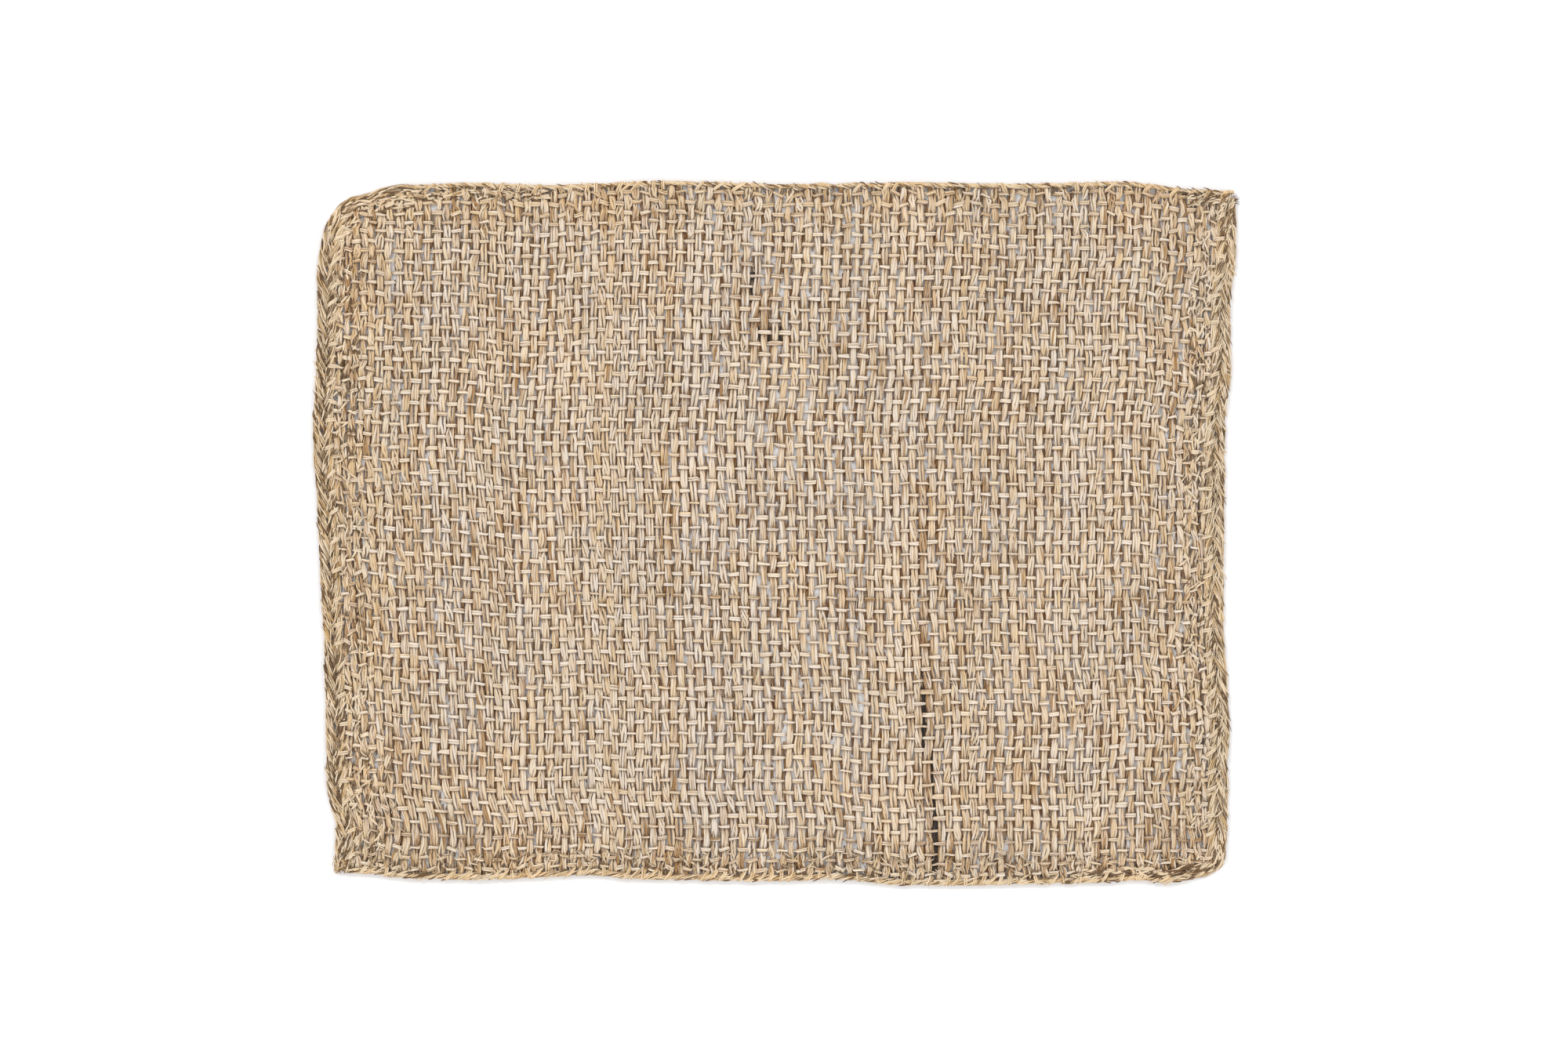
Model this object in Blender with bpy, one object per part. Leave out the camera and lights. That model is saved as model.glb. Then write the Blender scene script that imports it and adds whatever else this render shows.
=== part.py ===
"""A hand-woven placemat lying flat: open plain weave, plaited sides and corded ends.

Units are metres and +Z is up. The mat lies on the plane z = 0 with its long
sides along X. It is built as two halves, each made of one side, one end and the
round corner between them. The second half is the first one's tables turned by
half a turn, so both halves are described as the left side with the upper end.
"""

from collections import namedtuple
from math import cos, pi

import bmesh
import bpy
from mathutils import Vector

MM = 0.001

# Driving dimensions
HALF_WIDTH = 0.230        # from the middle to the straight line of a side
HALF_DEPTH = 0.175        # from the middle to the straight line of an end
CLOTH_THICKNESS = 0.0022  # one yarn over another, pressed flat
PLAIT_WIDTH = 0.0104      # plaited edging along the sides
CORD_WIDTH = 0.0034       # twisted cord along the ends
JOIN_GAP = 0.0003         # between the cloth and what is worked round it

# Plait: ribs lean out of the middle line like the barbs of a feather
RIB_PITCH = 0.0074        # one rib to the next, along the side
RIB_HEIGHT = 0.0032
GROOVE_HEIGHT = 0.0022
PLAIT_RIM_HEIGHT = 0.0015
OUTER_COLUMN_SHARE = 0.58  # of the plait's width, the rest is the inner column

# Cord: height across it, from the outer rim to the inner one
CORD_HEIGHTS = (0.0012, 0.0026, 0.0030, 0.0026, 0.0014)

# Steps of the outline
SIDE_STEP = RIB_PITCH / 2.0  # a crest, then a groove
END_STEP = 0.0080
CORNER_STEPS_LARGE = 18
CORNER_STEPS_SMALL = 14

# How far an edge stands out past its straight line, in mm. "along" runs up a
# side and rightwards along an end, both from the middle of the mat.
Sway = namedtuple("Sway", "along out")

LEFT_SIDE = [
    Sway(-178, -6.8), Sway(-160, -8.2), Sway(-146, -8.4), Sway(-130, -4.6), Sway(-100, -3.8),
    Sway(-60, -2.7), Sway(-10, -0.4), Sway(22, 1.2), Sway(48, 2.9), Sway(66, 2.0),
    Sway(100, 0.8), Sway(178, 0.4),
]
TOP_END = [
    Sway(-232, 1.0), Sway(-180, 0.4), Sway(-150, 1.3), Sway(-112, 0.2), Sway(-54, 2.2),
    Sway(5, 0.7), Sway(76, 1.5), Sway(123, 0.7), Sway(178, 1.6), Sway(196, -0.7),
    Sway(218, -2.4), Sway(234, -2.2),
]
# The right side and the bottom end, seen after half a turn of the mat
RIGHT_SIDE_TURNED = [
    Sway(-176, 2.3), Sway(-138, 1.6), Sway(-116, -0.7), Sway(-79, -0.8), Sway(-56, -3.3),
    Sway(-8, -3.8), Sway(48, -4.2), Sway(79, -2.3), Sway(98, -1.1), Sway(118, -2.3),
    Sway(180, -2.4),
]
BOTTOM_END_TURNED = [
    Sway(-230, 0.8), Sway(-194, 1.0), Sway(-182, -0.1), Sway(-147, 1.5), Sway(-64, 2.3),
    Sway(-30, -0.6), Sway(-5, 0.3), Sway(78, -1.1), Sway(92, -2.7), Sway(140, -0.5),
    Sway(184, -0.9), Sway(208, -3.6), Sway(228, -4.8),
]

# How far a round corner stands out past its plain curve. "along" runs from 0
# on the side to 100 on the end.
LEFT_TOP_CORNER = [
    Sway(0, 0.0), Sway(10, -0.7), Sway(22, -0.6), Sway(36, 0.0), Sway(57, 0.1),
    Sway(67, -1.6), Sway(75, -2.0), Sway(84, -1.0), Sway(93, -0.3), Sway(100, 0.0),
]
RIGHT_BOTTOM_CORNER = [
    Sway(0, 0.0), Sway(18, 0.3), Sway(30, 1.2), Sway(40, 1.4), Sway(50, 0.6),
    Sway(58, 0.0), Sway(68, -0.8), Sway(78, -1.5), Sway(88, -1.3), Sway(100, 0.0),
]

# One half of the mat: where its round corner leaves the side and meets the end
Half = namedtuple("Half", "turn side end corner corner_low corner_far corner_steps")

LEFT_TOP = Half(1.0, LEFT_SIDE, TOP_END, LEFT_TOP_CORNER, 0.133, -0.184, CORNER_STEPS_LARGE)
RIGHT_BOTTOM = Half(
    -1.0, RIGHT_SIDE_TURNED, BOTTOM_END_TURNED, RIGHT_BOTTOM_CORNER, 0.150, -0.201, CORNER_STEPS_SMALL
)


def out_past_line(rows, along):
    """Read a sway table with a smooth curve, in metres."""
    place = along / MM
    last = len(rows) - 1
    if place <= rows[0].along:
        return rows[0].out * MM
    if place >= rows[last].along:
        return rows[last].out * MM
    index = max(i for i in range(last) if rows[i].along <= place)
    here, there = rows[index], rows[index + 1]
    span = there.along - here.along

    def slope(i):
        low, high = rows[max(i - 1, 0)], rows[min(i + 1, last)]
        return (high.out - low.out) / (high.along - low.along)

    t = (place - here.along) / span
    value = (
        here.out * (2 * t ** 3 - 3 * t ** 2 + 1)
        + slope(index) * span * (t ** 3 - 2 * t ** 2 + t)
        + there.out * (3 * t ** 2 - 2 * t ** 3)
        + slope(index + 1) * span * (t ** 3 - t ** 2)
    )
    return value * MM


def side_point(half, y, inset):
    """A point of the half's side at height y, moved into the mat by inset."""
    return Vector((-HALF_WIDTH - out_past_line(half.side, y) + inset, y)) * half.turn


def end_point(half, x, inset):
    """A point of the half's end at place x, moved into the mat by inset."""
    return Vector((x, HALF_DEPTH + out_past_line(half.end, x) - inset)) * half.turn


def corner_point(half, t, side_inset, end_inset):
    """A point of the round corner, t = 0 on the side and 1 on the end."""
    start = side_point(half, half.corner_low, side_inset)
    finish = end_point(half, half.corner_far, end_inset)
    crown = Vector((start.x, finish.y))
    plain = start * (1 - t) ** 2 + crown * (2 * t * (1 - t)) + finish * t ** 2
    outwards = (plain - Vector((finish.x, start.y))).normalized()
    return plain + outwards * out_past_line(half.corner, t * 100 * MM)


def hard_corner(half, side_inset, end_inset):
    """Where the half's side meets the other half's end, in a hard corner."""
    other = RIGHT_BOTTOM if half is LEFT_TOP else LEFT_TOP
    corner = Vector((-HALF_WIDTH, -HALF_DEPTH)) * half.turn
    for _ in range(4):
        across = side_point(half, corner.y * half.turn, side_inset).x
        up = end_point(other, corner.x * other.turn, end_inset).y
        corner = Vector((across, up))
    return corner


def steps_between(start, finish, step):
    """Even places from start to finish, both included, about a step apart."""
    count = max(1, round(abs(finish - start) / step))
    return [start + (finish - start) * i / count for i in range(count + 1)]


def side_places(half, end_inset):
    """Heights of the side's points, from above its hard corner to the round one."""
    low = hard_corner(half, 0.0, end_inset).y * half.turn
    return steps_between(low, half.corner_low, SIDE_STEP)


def end_places(half, side_inset):
    """Places of the end's points, from the round corner to the far hard one."""
    other = RIGHT_BOTTOM if half is LEFT_TOP else LEFT_TOP
    far = hard_corner(other, side_inset, 0.0).x * half.turn
    return steps_between(half.corner_far, far, END_STEP)


def mat_middle():
    """The middle of the box round the whole mat, which becomes the origin."""
    points = []
    for half in (LEFT_TOP, RIGHT_BOTTOM):
        points.append(hard_corner(half, 0.0, 0.0))
        points += [side_point(half, y, 0.0) for y in side_places(half, 0.0)]
        points += [end_point(half, x, 0.0) for x in end_places(half, 0.0)]
    xs = [point.x for point in points]
    ys = [point.y for point in points]
    return Vector(((min(xs) + max(xs)) / 2, (min(ys) + max(ys)) / 2))


MIDDLE = mat_middle()


def finish_object(name, bm, colour, roughness):
    """Turn a closed bmesh into a named object with its own material."""
    bmesh.ops.recalc_face_normals(bm, faces=bm.faces)
    mesh = bpy.data.meshes.new(name)
    bm.to_mesh(mesh)
    bm.free()
    material = bpy.data.materials.new(name)
    material.use_nodes = True
    shader = material.node_tree.nodes["Principled BSDF"]
    shader.inputs["Base Color"].default_value = (*colour, 1.0)
    shader.inputs["Roughness"].default_value = roughness
    shader.inputs["Metallic"].default_value = 0.0
    mesh.materials.append(material)
    thing = bpy.data.objects.new(name, mesh)
    bpy.context.scene.collection.objects.link(thing)
    return thing


def cloth_outline():
    """The cloth's own outline, inside the plaits and cords, going clockwise."""
    side_inset = PLAIT_WIDTH + JOIN_GAP
    end_inset = CORD_WIDTH + JOIN_GAP
    outline = []
    for half in (LEFT_TOP, RIGHT_BOTTOM):
        outline.append(hard_corner(half, side_inset, end_inset))
        outline += [side_point(half, y, side_inset) for y in side_places(half, end_inset)[1:]]
        outline += [
            corner_point(half, i / half.corner_steps, side_inset, end_inset)
            for i in range(1, half.corner_steps)
        ]
        outline += [end_point(half, x, end_inset) for x in end_places(half, side_inset)[:-1]]
    return outline


def woven_cloth():
    """The woven cloth as one flat sheet of its real thickness."""
    bm = bmesh.new()
    corners = [bm.verts.new((*(point - MIDDLE), 0.0)) for point in cloth_outline()]
    floor = bm.faces.new(corners)
    raised = bmesh.ops.extrude_face_region(bm, geom=[floor])
    top = [item for item in raised["geom"] if isinstance(item, bmesh.types.BMVert)]
    bmesh.ops.translate(bm, vec=(0.0, 0.0, CLOTH_THICKNESS), verts=top)
    return finish_object("woven_cloth", bm, (0.52, 0.41, 0.29), 0.85)


def strip(name, outer, inner, shares, heights, colour, leans):
    """A flat-bottomed strip between two lines, with its top raised point by point.

    shares are places across the strip, 0 on the outer line and 1 on the inner
    one. heights(row, column) gives the top's height there, and leans(column)
    says which diagonal splits the quads between a column and the next.
    """
    bm = bmesh.new()
    rows = len(outer)
    columns = len(shares)
    top = []
    for row in range(rows):
        line = []
        for column, share in enumerate(shares):
            flat = outer[row].lerp(inner[row], share) - MIDDLE
            line.append(bm.verts.new((flat.x, flat.y, heights(row, column))))
        top.append(line)
    base = [
        (bm.verts.new((*(outer[row] - MIDDLE), 0.0)), bm.verts.new((*(inner[row] - MIDDLE), 0.0)))
        for row in range(rows)
    ]
    for row in range(rows - 1):
        near, far = top[row], top[row + 1]
        for column in range(columns - 1):
            a, b, c, d = near[column], near[column + 1], far[column + 1], far[column]
            if leans(column):
                bm.faces.new((a, b, d))
                bm.faces.new((b, c, d))
            else:
                bm.faces.new((a, b, c))
                bm.faces.new((a, c, d))
        bm.faces.new((near[0], far[0], base[row + 1][0], base[row][0]))
        bm.faces.new((near[-1], far[-1], base[row + 1][1], base[row][1]))
        bm.faces.new((base[row][0], base[row][1], base[row + 1][1], base[row + 1][0]))
    for row in (0, rows - 1):
        bm.faces.new((*top[row], base[row][1], base[row][0]))
    return finish_object(name, bm, colour, 0.85)


def edge_plait(name, half):
    """The plait along one side, which narrows round the corner into the cord."""
    places = side_places(half, CORD_WIDTH + JOIN_GAP)
    turns = [i / half.corner_steps for i in range(1, half.corner_steps + 1)]
    outer = [side_point(half, y, 0.0) for y in places]
    inner = [side_point(half, y, PLAIT_WIDTH) for y in places]
    outer += [corner_point(half, t, 0.0, 0.0) for t in turns]
    inner += [corner_point(half, t, PLAIT_WIDTH, CORD_WIDTH) for t in turns]
    middle = OUTER_COLUMN_SHARE
    shares = [0.0, middle / 3, middle * 2 / 3, middle, (2 * middle + 1) / 3, (middle + 2) / 3, 1.0]
    middle_column = 3

    def heights(row, column):
        if column in (0, len(shares) - 1):
            return PLAIT_RIM_HEIGHT
        if column == middle_column:
            return GROOVE_HEIGHT
        step = row + column if column < middle_column else row - column
        return RIB_HEIGHT if step % 2 == 0 else GROOVE_HEIGHT

    def leans(column):
        return column < middle_column

    return strip(name, outer, inner, shares, heights, (0.50, 0.39, 0.27), leans)


def end_cord(name, half):
    """The twisted cord along one end, from the round corner to the hard one."""
    places = end_places(half, 0.0)
    first = places[0] + JOIN_GAP
    places = [first] + places[1:]
    outer = [end_point(half, x, 0.0) for x in places]
    inner = [end_point(half, x, CORD_WIDTH) for x in places]
    shares = [(1 - cos(pi * i / (len(CORD_HEIGHTS) - 1))) / 2 for i in range(len(CORD_HEIGHTS))]

    def heights(row, column):
        return CORD_HEIGHTS[column]

    def leans(column):
        return True

    return strip(name, outer, inner, shares, heights, (0.47, 0.36, 0.25), leans)


def build():
    """Clear the scene and make the whole mat."""
    for thing in list(bpy.data.objects):
        bpy.data.objects.remove(thing)
    woven_cloth()
    edge_plait("edge_plait_left", LEFT_TOP)
    edge_plait("edge_plait_right", RIGHT_BOTTOM)
    end_cord("end_cord_top", LEFT_TOP)
    end_cord("end_cord_bottom", RIGHT_BOTTOM)


build()
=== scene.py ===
"""Looks of a hand-woven placemat: every yarn, plait and cord is swept strand by strand.

The mat lies flat. Warp ends run up its short way as loose bundles of flat fibre
strands, picks of two thin plies run across them in plain weave, a plait runs
along each side and a looped cord along each end.
"""

import logging
import math
from collections.abc import Callable
from dataclasses import dataclass, field
from enum import Enum
from typing import NamedTuple

import bpy
import numpy as np
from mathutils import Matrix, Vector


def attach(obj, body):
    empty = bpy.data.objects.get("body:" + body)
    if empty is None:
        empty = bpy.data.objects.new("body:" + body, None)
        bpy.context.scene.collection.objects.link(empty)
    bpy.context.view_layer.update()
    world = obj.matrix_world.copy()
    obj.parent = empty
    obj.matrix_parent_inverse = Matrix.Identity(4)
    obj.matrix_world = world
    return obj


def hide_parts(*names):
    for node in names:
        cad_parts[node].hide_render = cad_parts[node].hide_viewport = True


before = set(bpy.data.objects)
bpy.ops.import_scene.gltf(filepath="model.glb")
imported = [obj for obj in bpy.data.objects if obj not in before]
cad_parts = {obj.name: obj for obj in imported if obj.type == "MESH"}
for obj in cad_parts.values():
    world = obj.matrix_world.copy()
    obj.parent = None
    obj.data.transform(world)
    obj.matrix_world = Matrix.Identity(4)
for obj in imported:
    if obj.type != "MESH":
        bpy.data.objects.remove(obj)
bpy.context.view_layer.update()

Array = np.ndarray
Rng = np.random.Generator
Material = bpy.types.Material
Thing = bpy.types.Object
Socket = bpy.types.NodeSocket

MM = 0.001
ROOT = "root"
TINY = 1e-9
# The least height over the table, the height that counts as fully lit for the painted shade on low parts of
# strands, and how much lower a section's lower corners are reckoned, which paints a shaded rim along each
# strand
FLOOR_GAP = 0.00008
LIT_HEIGHT = 0.0026
RIM_SHADE = 0.62
log = logging.getLogger("placemat")


class Sway(NamedTuple):
    """How far an edge stands out, in mm, at a place in mm along it, or in per cent of a corner."""

    along: float
    out: float


class Sag(NamedTuple):
    """How far the picks lie above their even places, in mm, at three heights of the mat."""

    across: float
    upper: float
    middle: float
    lower: float


class Pace(NamedTuple):
    """How wide the yarns are spaced at a place across or up the mat, 1 being the mean."""

    place: float
    spacing: float


class SectionPoint(NamedTuple):
    """A corner of a strand's section, as shares of its half width and half thickness."""

    across: float
    above: float


class Knot(NamedTuple):
    """Where a knot lies, how far it reaches, in metres, and the angle it is turned by."""

    x: float
    y: float
    radius: float
    tilt: float


class Slit(NamedTuple):
    """A place where two warp ends have parted, in mm."""

    x: float
    y: float
    half_length: float
    opening: float


class Patch(NamedTuple):
    """An oval place on the mat, in mm, where the yarn is browner or more open than elsewhere."""

    x: float
    y: float
    half_width: float
    half_height: float
    strength: float


class Lean(Enum):
    """Which way the strokes of a twisted cord lean when seen from above."""

    LEFT = -1.0
    RIGHT = 1.0


class Run(Enum):
    """The part of a half's edge that a band of strokes follows."""

    SIDE = "side"
    CORNER = "corner"
    END = "end"


class Band(NamedTuple):
    """A band of short strokes of fibre beside an edge.

    Start and stop are mm along a side or an end, or per cent of a round corner.
    Near and far are mm in from the outline. Lean and spread are degrees from the
    edge's own line. Length, half_width and height are mm. Tone and brown are the
    lightness and the brownness of the fibre.
    """

    run: Run
    start: float
    stop: float
    near: float
    far: float
    lean: float
    spread: float
    count: int
    length: float
    half_width: float
    height: float
    tone: float
    brown: float


FLAT_SECTION = (
    SectionPoint(1.0, -0.50), SectionPoint(0.48, 0.90), SectionPoint(-0.48, 0.90),
    SectionPoint(-1.0, -0.50),
)
THIN_SECTION = (SectionPoint(0.87, -0.5), SectionPoint(0.0, 1.0), SectionPoint(-0.87, -0.5))

LEFT_SIDE = (
    Sway(-178, -6.8), Sway(-160, -8.2), Sway(-146, -8.4), Sway(-130, -4.6), Sway(-100, -3.8),
    Sway(-60, -2.7), Sway(-10, -0.4), Sway(22, 1.2), Sway(48, 2.9), Sway(66, 2.0), Sway(100, 0.8),
    Sway(178, 0.4),
)
TOP_END = (
    Sway(-232, 1.0), Sway(-180, 0.4), Sway(-150, 1.3), Sway(-112, 0.2), Sway(-54, 2.2), Sway(5, 0.7),
    Sway(76, 1.5), Sway(123, 0.7), Sway(178, 1.6), Sway(196, -0.7), Sway(218, -2.4), Sway(234, -2.2),
)
RIGHT_SIDE_TURNED = (
    Sway(-176, 2.3), Sway(-138, 1.6), Sway(-116, -0.7), Sway(-79, -0.8), Sway(-56, -3.3), Sway(-8, -3.8),
    Sway(48, -4.2), Sway(79, -2.3), Sway(98, -1.1), Sway(118, -2.3), Sway(180, -2.4),
)
BOTTOM_END_TURNED = (
    Sway(-230, 0.8), Sway(-194, 1.0), Sway(-182, -0.1), Sway(-147, 1.5), Sway(-64, 2.3), Sway(-30, -0.6),
    Sway(-5, 0.3), Sway(78, -1.1), Sway(92, -2.7), Sway(140, -0.5), Sway(184, -0.9), Sway(208, -3.6),
    Sway(228, -4.8),
)
LEFT_TOP_CORNER = (
    Sway(0, 0.0), Sway(10, -0.7), Sway(22, -0.6), Sway(36, 0.0), Sway(57, 0.1), Sway(67, -1.6),
    Sway(75, -2.0), Sway(84, -1.0), Sway(93, -0.3), Sway(100, 0.0),
)
RIGHT_BOTTOM_CORNER = (
    Sway(0, 0.0), Sway(18, 0.3), Sway(30, 1.2), Sway(40, 1.4), Sway(50, 0.6), Sway(58, 0.0), Sway(68, -0.8),
    Sway(78, -1.5), Sway(88, -1.3), Sway(100, 0.0),
)

SAG_SHARES = (0.0, 0.09, 0.5, 0.90, 1.0)
PICK_SAG = (
    Sag(-216, 2.6, 3.0, 3.0), Sag(-165, 2.4, 2.6, 2.2), Sag(-127, 0.2, -0.9, -0.1),
    Sag(-89, 1.3, -1.7, -0.5), Sag(-51, 0.6, -1.9, -0.1), Sag(5, 0.6, -2.1, 0.6), Sag(43, -0.5, -2.9, -1.3),
    Sag(100, -0.1, -1.5, 1.0), Sag(157, -2.1, -2.9, -0.1), Sag(216, -2.1, -3.3, 1.8),
)
WARP_PACE = (
    Pace(-222, 0.80), Pace(-210, 0.88), Pace(-190, 1.02), Pace(-164, 1.04), Pace(-120, 1.00),
    Pace(-74, 0.92), Pace(-31, 1.05), Pace(13, 1.07), Pace(56, 1.01), Pace(99, 1.01), Pace(143, 0.96),
    Pace(186, 0.97), Pace(206, 0.88), Pace(222, 0.78),
)
PICK_PACE = (
    Pace(-172, 0.86), Pace(-138, 1.01), Pace(-71, 1.04), Pace(0, 1.04), Pace(71, 0.97), Pace(138, 0.955),
    Pace(172, 0.86),
)
SLITS = (
    Slit(-12.4, 124.0, 8.0, 0.5), Slit(-9.0, 99.0, 5.0, 0.48), Slit(0.6, 99.0, 5.0, 0.48),
    Slit(-4.0, 100.0, 4.5, 0.32), Slit(77.2, -89.0, 20.0, 1.2), Slit(78.3, -124.0, 15.0, 0.9),
    Slit(79.0, -151.0, 12.0, 1.0), Slit(80.0, -166.0, 5.0, 1.1),
)
BROWN_PATCHES = (
    Patch(-9.0, 112.0, 9.0, 40.0, 0.20), Patch(-8.0, 20.0, 5.0, 70.0, 0.07),
    Patch(-95.0, 118.0, 7.0, 16.0, 0.16), Patch(-212.0, 132.0, 16.0, 26.0, 0.20),
    Patch(-216.0, 40.0, 9.0, 60.0, 0.14), Patch(-212.0, -45.0, 10.0, 20.0, 0.24),
    Patch(-190.0, -118.0, 26.0, 20.0, 0.18), Patch(-160.0, -150.0, 30.0, 12.0, 0.14),
    Patch(78.0, -60.0, 8.0, 70.0, 0.09), Patch(48.0, 76.0, 6.0, 12.0, 0.16),
    Patch(-30.0, -45.0, 8.0, 30.0, 0.10), Patch(120.0, 110.0, 6.0, 40.0, 0.08),
    Patch(0.0, -166.0, 235.0, 9.0, 0.17), Patch(0.0, 172.0, 235.0, 4.0, 0.08),
    Patch(178.0, -34.0, 8.0, 10.0, 0.20), Patch(140.0, -120.0, 60.0, 4.0, 0.16),
    Patch(-100.0, 160.0, 60.0, 3.0, 0.14), Patch(205.0, -158.0, 26.0, 14.0, 0.16),
)
OPEN_PATCHES = (
    Patch(-112.0, 42.0, 14.0, 40.0, 0.11), Patch(-120.0, 135.0, 26.0, 24.0, 0.08),
    Patch(205.0, -85.0, 16.0, 36.0, 0.10), Patch(190.0, 70.0, 26.0, 34.0, 0.05),
    Patch(20.0, -40.0, 26.0, 60.0, 0.05), Patch(90.0, 55.0, 40.0, 30.0, 0.04),
    Patch(-200.0, -150.0, 20.0, 12.0, 0.09), Patch(20.0, 130.0, 40.0, 20.0, 0.05),
)

# Rows with brown near 1 are dark strokes laid on top: partly dark fibre and partly painted shade for the
# gaps between the plait's bundles
LEFT_TOP_BANDS = (
    Band(Run.SIDE, -168, 133, 1.0, 4.4, -19, 8, 165, 5.0, 0.28, 2.60, -0.2, 1.00),
    Band(Run.SIDE, -168, 133, 5.6, 9.4, 19, 8, 165, 4.8, 0.28, 2.65, -0.2, 1.00),
    Band(Run.SIDE, -168, 133, 1.0, 4.6, -18, 10, 105, 5.4, 0.36, 2.72, 0.40, 0.0),
    Band(Run.SIDE, -168, 133, 5.2, 9.4, 18, 10, 105, 5.2, 0.36, 2.75, 0.40, 0.0),
    Band(Run.SIDE, -160, 133, 9.8, 24.0, 6, 22, 130, 5.0, 0.34, 2.20, -0.1, 0.75),
    Band(Run.SIDE, -160, 133, 9.8, 24.0, 4, 26, 150, 5.0, 0.50, 2.25, 0.40, 0.05),
    Band(Run.SIDE, -168, -110, 11.0, 34.0, 0, 26, 90, 5.0, 0.40, 2.20, 0.2, 0.35),
    Band(Run.SIDE, -169, -154, 2.4, 9.0, 14, 16, 26, 4.2, 0.42, 2.75, -0.1, 0.80),
    Band(Run.SIDE, -169, -154, 2.2, 9.0, 14, 16, 30, 4.5, 0.50, 2.75, 0.15, 0.20),
    Band(Run.END, 208, 226, 2.6, 8.0, -24, 14, 24, 4.4, 0.42, 2.75, -0.1, 0.75),
    Band(Run.END, 208, 226, 2.4, 8.0, -24, 14, 30, 4.6, 0.50, 2.80, 0.20, 0.15),
    Band(Run.CORNER, 0, 100, 1.0, 4.6, -6, 8, 26, 6.0, 0.36, 2.45, -0.1, 0.95),
    Band(Run.CORNER, 0, 100, 1.0, 4.6, -6, 8, 20, 6.0, 0.48, 2.55, 0.40, 0.0),
    Band(Run.CORNER, 0, 100, 3.5, 12.0, 0, 22, 60, 5.5, 0.60, 2.00, 0.35, 0.05),
    Band(Run.CORNER, 0, 100, 3.5, 12.0, 12, 22, 46, 5.5, 0.50, 2.10, 0.0, 0.80),
    Band(Run.END, -186, -115, 2.6, 9.5, -6, 14, 44, 6.0, 0.62, 2.05, 0.40, 0.05),
    Band(Run.END, -186, -115, 2.6, 9.5, 16, 24, 42, 5.5, 0.46, 2.15, 0.0, 0.75),
    Band(Run.END, -184, 226, 0.8, 2.8, 20, 8, 90, 4.5, 0.34, 2.60, -0.2, 0.95),
    Band(Run.END, -184, 226, 0.8, 2.8, 22, 8, 90, 4.5, 0.42, 2.65, 0.40, 0.0),
    Band(Run.END, -115, 226, 3.6, 6.0, 84, 18, 80, 4.0, 0.36, 2.00, 0.0, 0.75),
)
# As above, rows with brown near 1 are partly dark fibre and partly painted shade for the gaps between the
# plait's bundles
RIGHT_BOTTOM_BANDS = (
    Band(Run.SIDE, -164, 150, 1.0, 4.4, -19, 8, 105, 4.6, 0.26, 2.60, -0.2, 0.85),
    Band(Run.SIDE, -164, 150, 5.6, 9.4, 19, 8, 105, 4.6, 0.26, 2.65, -0.2, 0.85),
    Band(Run.SIDE, -164, 150, 1.0, 4.6, -18, 12, 130, 5.0, 0.36, 2.72, 0.35, 0.0),
    Band(Run.SIDE, -164, 150, 4.2, 9.4, 18, 12, 130, 5.0, 0.36, 2.75, 0.35, 0.0),
    Band(Run.SIDE, -160, 150, 9.8, 22.0, 6, 22, 130, 5.0, 0.34, 2.20, -0.1, 0.75),
    Band(Run.SIDE, -160, 150, 9.8, 22.0, 4, 26, 150, 5.0, 0.50, 2.25, 0.40, 0.05),
    Band(Run.SIDE, -168, -150, 2.2, 8.5, 20, 14, 26, 4.4, 0.42, 2.80, -0.1, 0.80),
    Band(Run.SIDE, -168, -150, 2.0, 8.5, 20, 14, 30, 4.6, 0.50, 2.75, 0.15, 0.20),
    Band(Run.END, -208, -150, 1.0, 7.0, -6, 12, 50, 6.5, 0.52, 2.60, 0.30, 0.05),
    Band(Run.END, -208, -150, 1.0, 7.0, 0, 16, 40, 6.0, 0.40, 2.60, -0.1, 0.85),
    Band(Run.END, -215, 205, 6.0, 15.0, 20, 60, 190, 4.5, 0.42, 2.25, 0.2, 0.35),
    Band(Run.CORNER, 0, 100, 1.0, 7.0, -6, 10, 26, 6.0, 0.38, 2.60, -0.1, 0.95),
    Band(Run.CORNER, 0, 100, 1.0, 7.0, -6, 10, 30, 6.5, 0.52, 2.65, 0.35, 0.0),
    Band(Run.CORNER, 0, 100, 3.5, 10.5, 0, 22, 24, 5.5, 0.58, 2.00, 0.30, 0.10),
    Band(Run.CORNER, 0, 100, 3.5, 10.5, 12, 22, 18, 5.5, 0.46, 2.10, 0.0, 0.75),
    Band(Run.END, -201, 216, 0.8, 3.4, -14, 8, 110, 6.0, 0.38, 2.80, -0.2, 0.90),
    Band(Run.END, -201, 216, 0.8, 3.4, -16, 9, 110, 6.5, 0.48, 2.85, 0.30, 0.05),
    Band(Run.END, -201, 216, 4.0, 7.0, 70, 30, 110, 4.5, 0.40, 2.10, 0.0, 0.80),
)


def patch_strength(patches: tuple[Patch, ...], points: Array) -> Array:
    """Add up how strongly a table of patches acts at some places.

    Args:
        patches: the table.
        points: places on the mat, one row each.

    Returns:
        The summed strength at each place.
    """
    total = np.zeros(len(points))
    for patch in patches:
        across = (points[:, 0] / MM - patch.x) / patch.half_width
        up = (points[:, 1] / MM - patch.y) / patch.half_height
        total += patch.strength * np.exp(-(across ** 2 + up ** 2))
    return total


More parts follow.
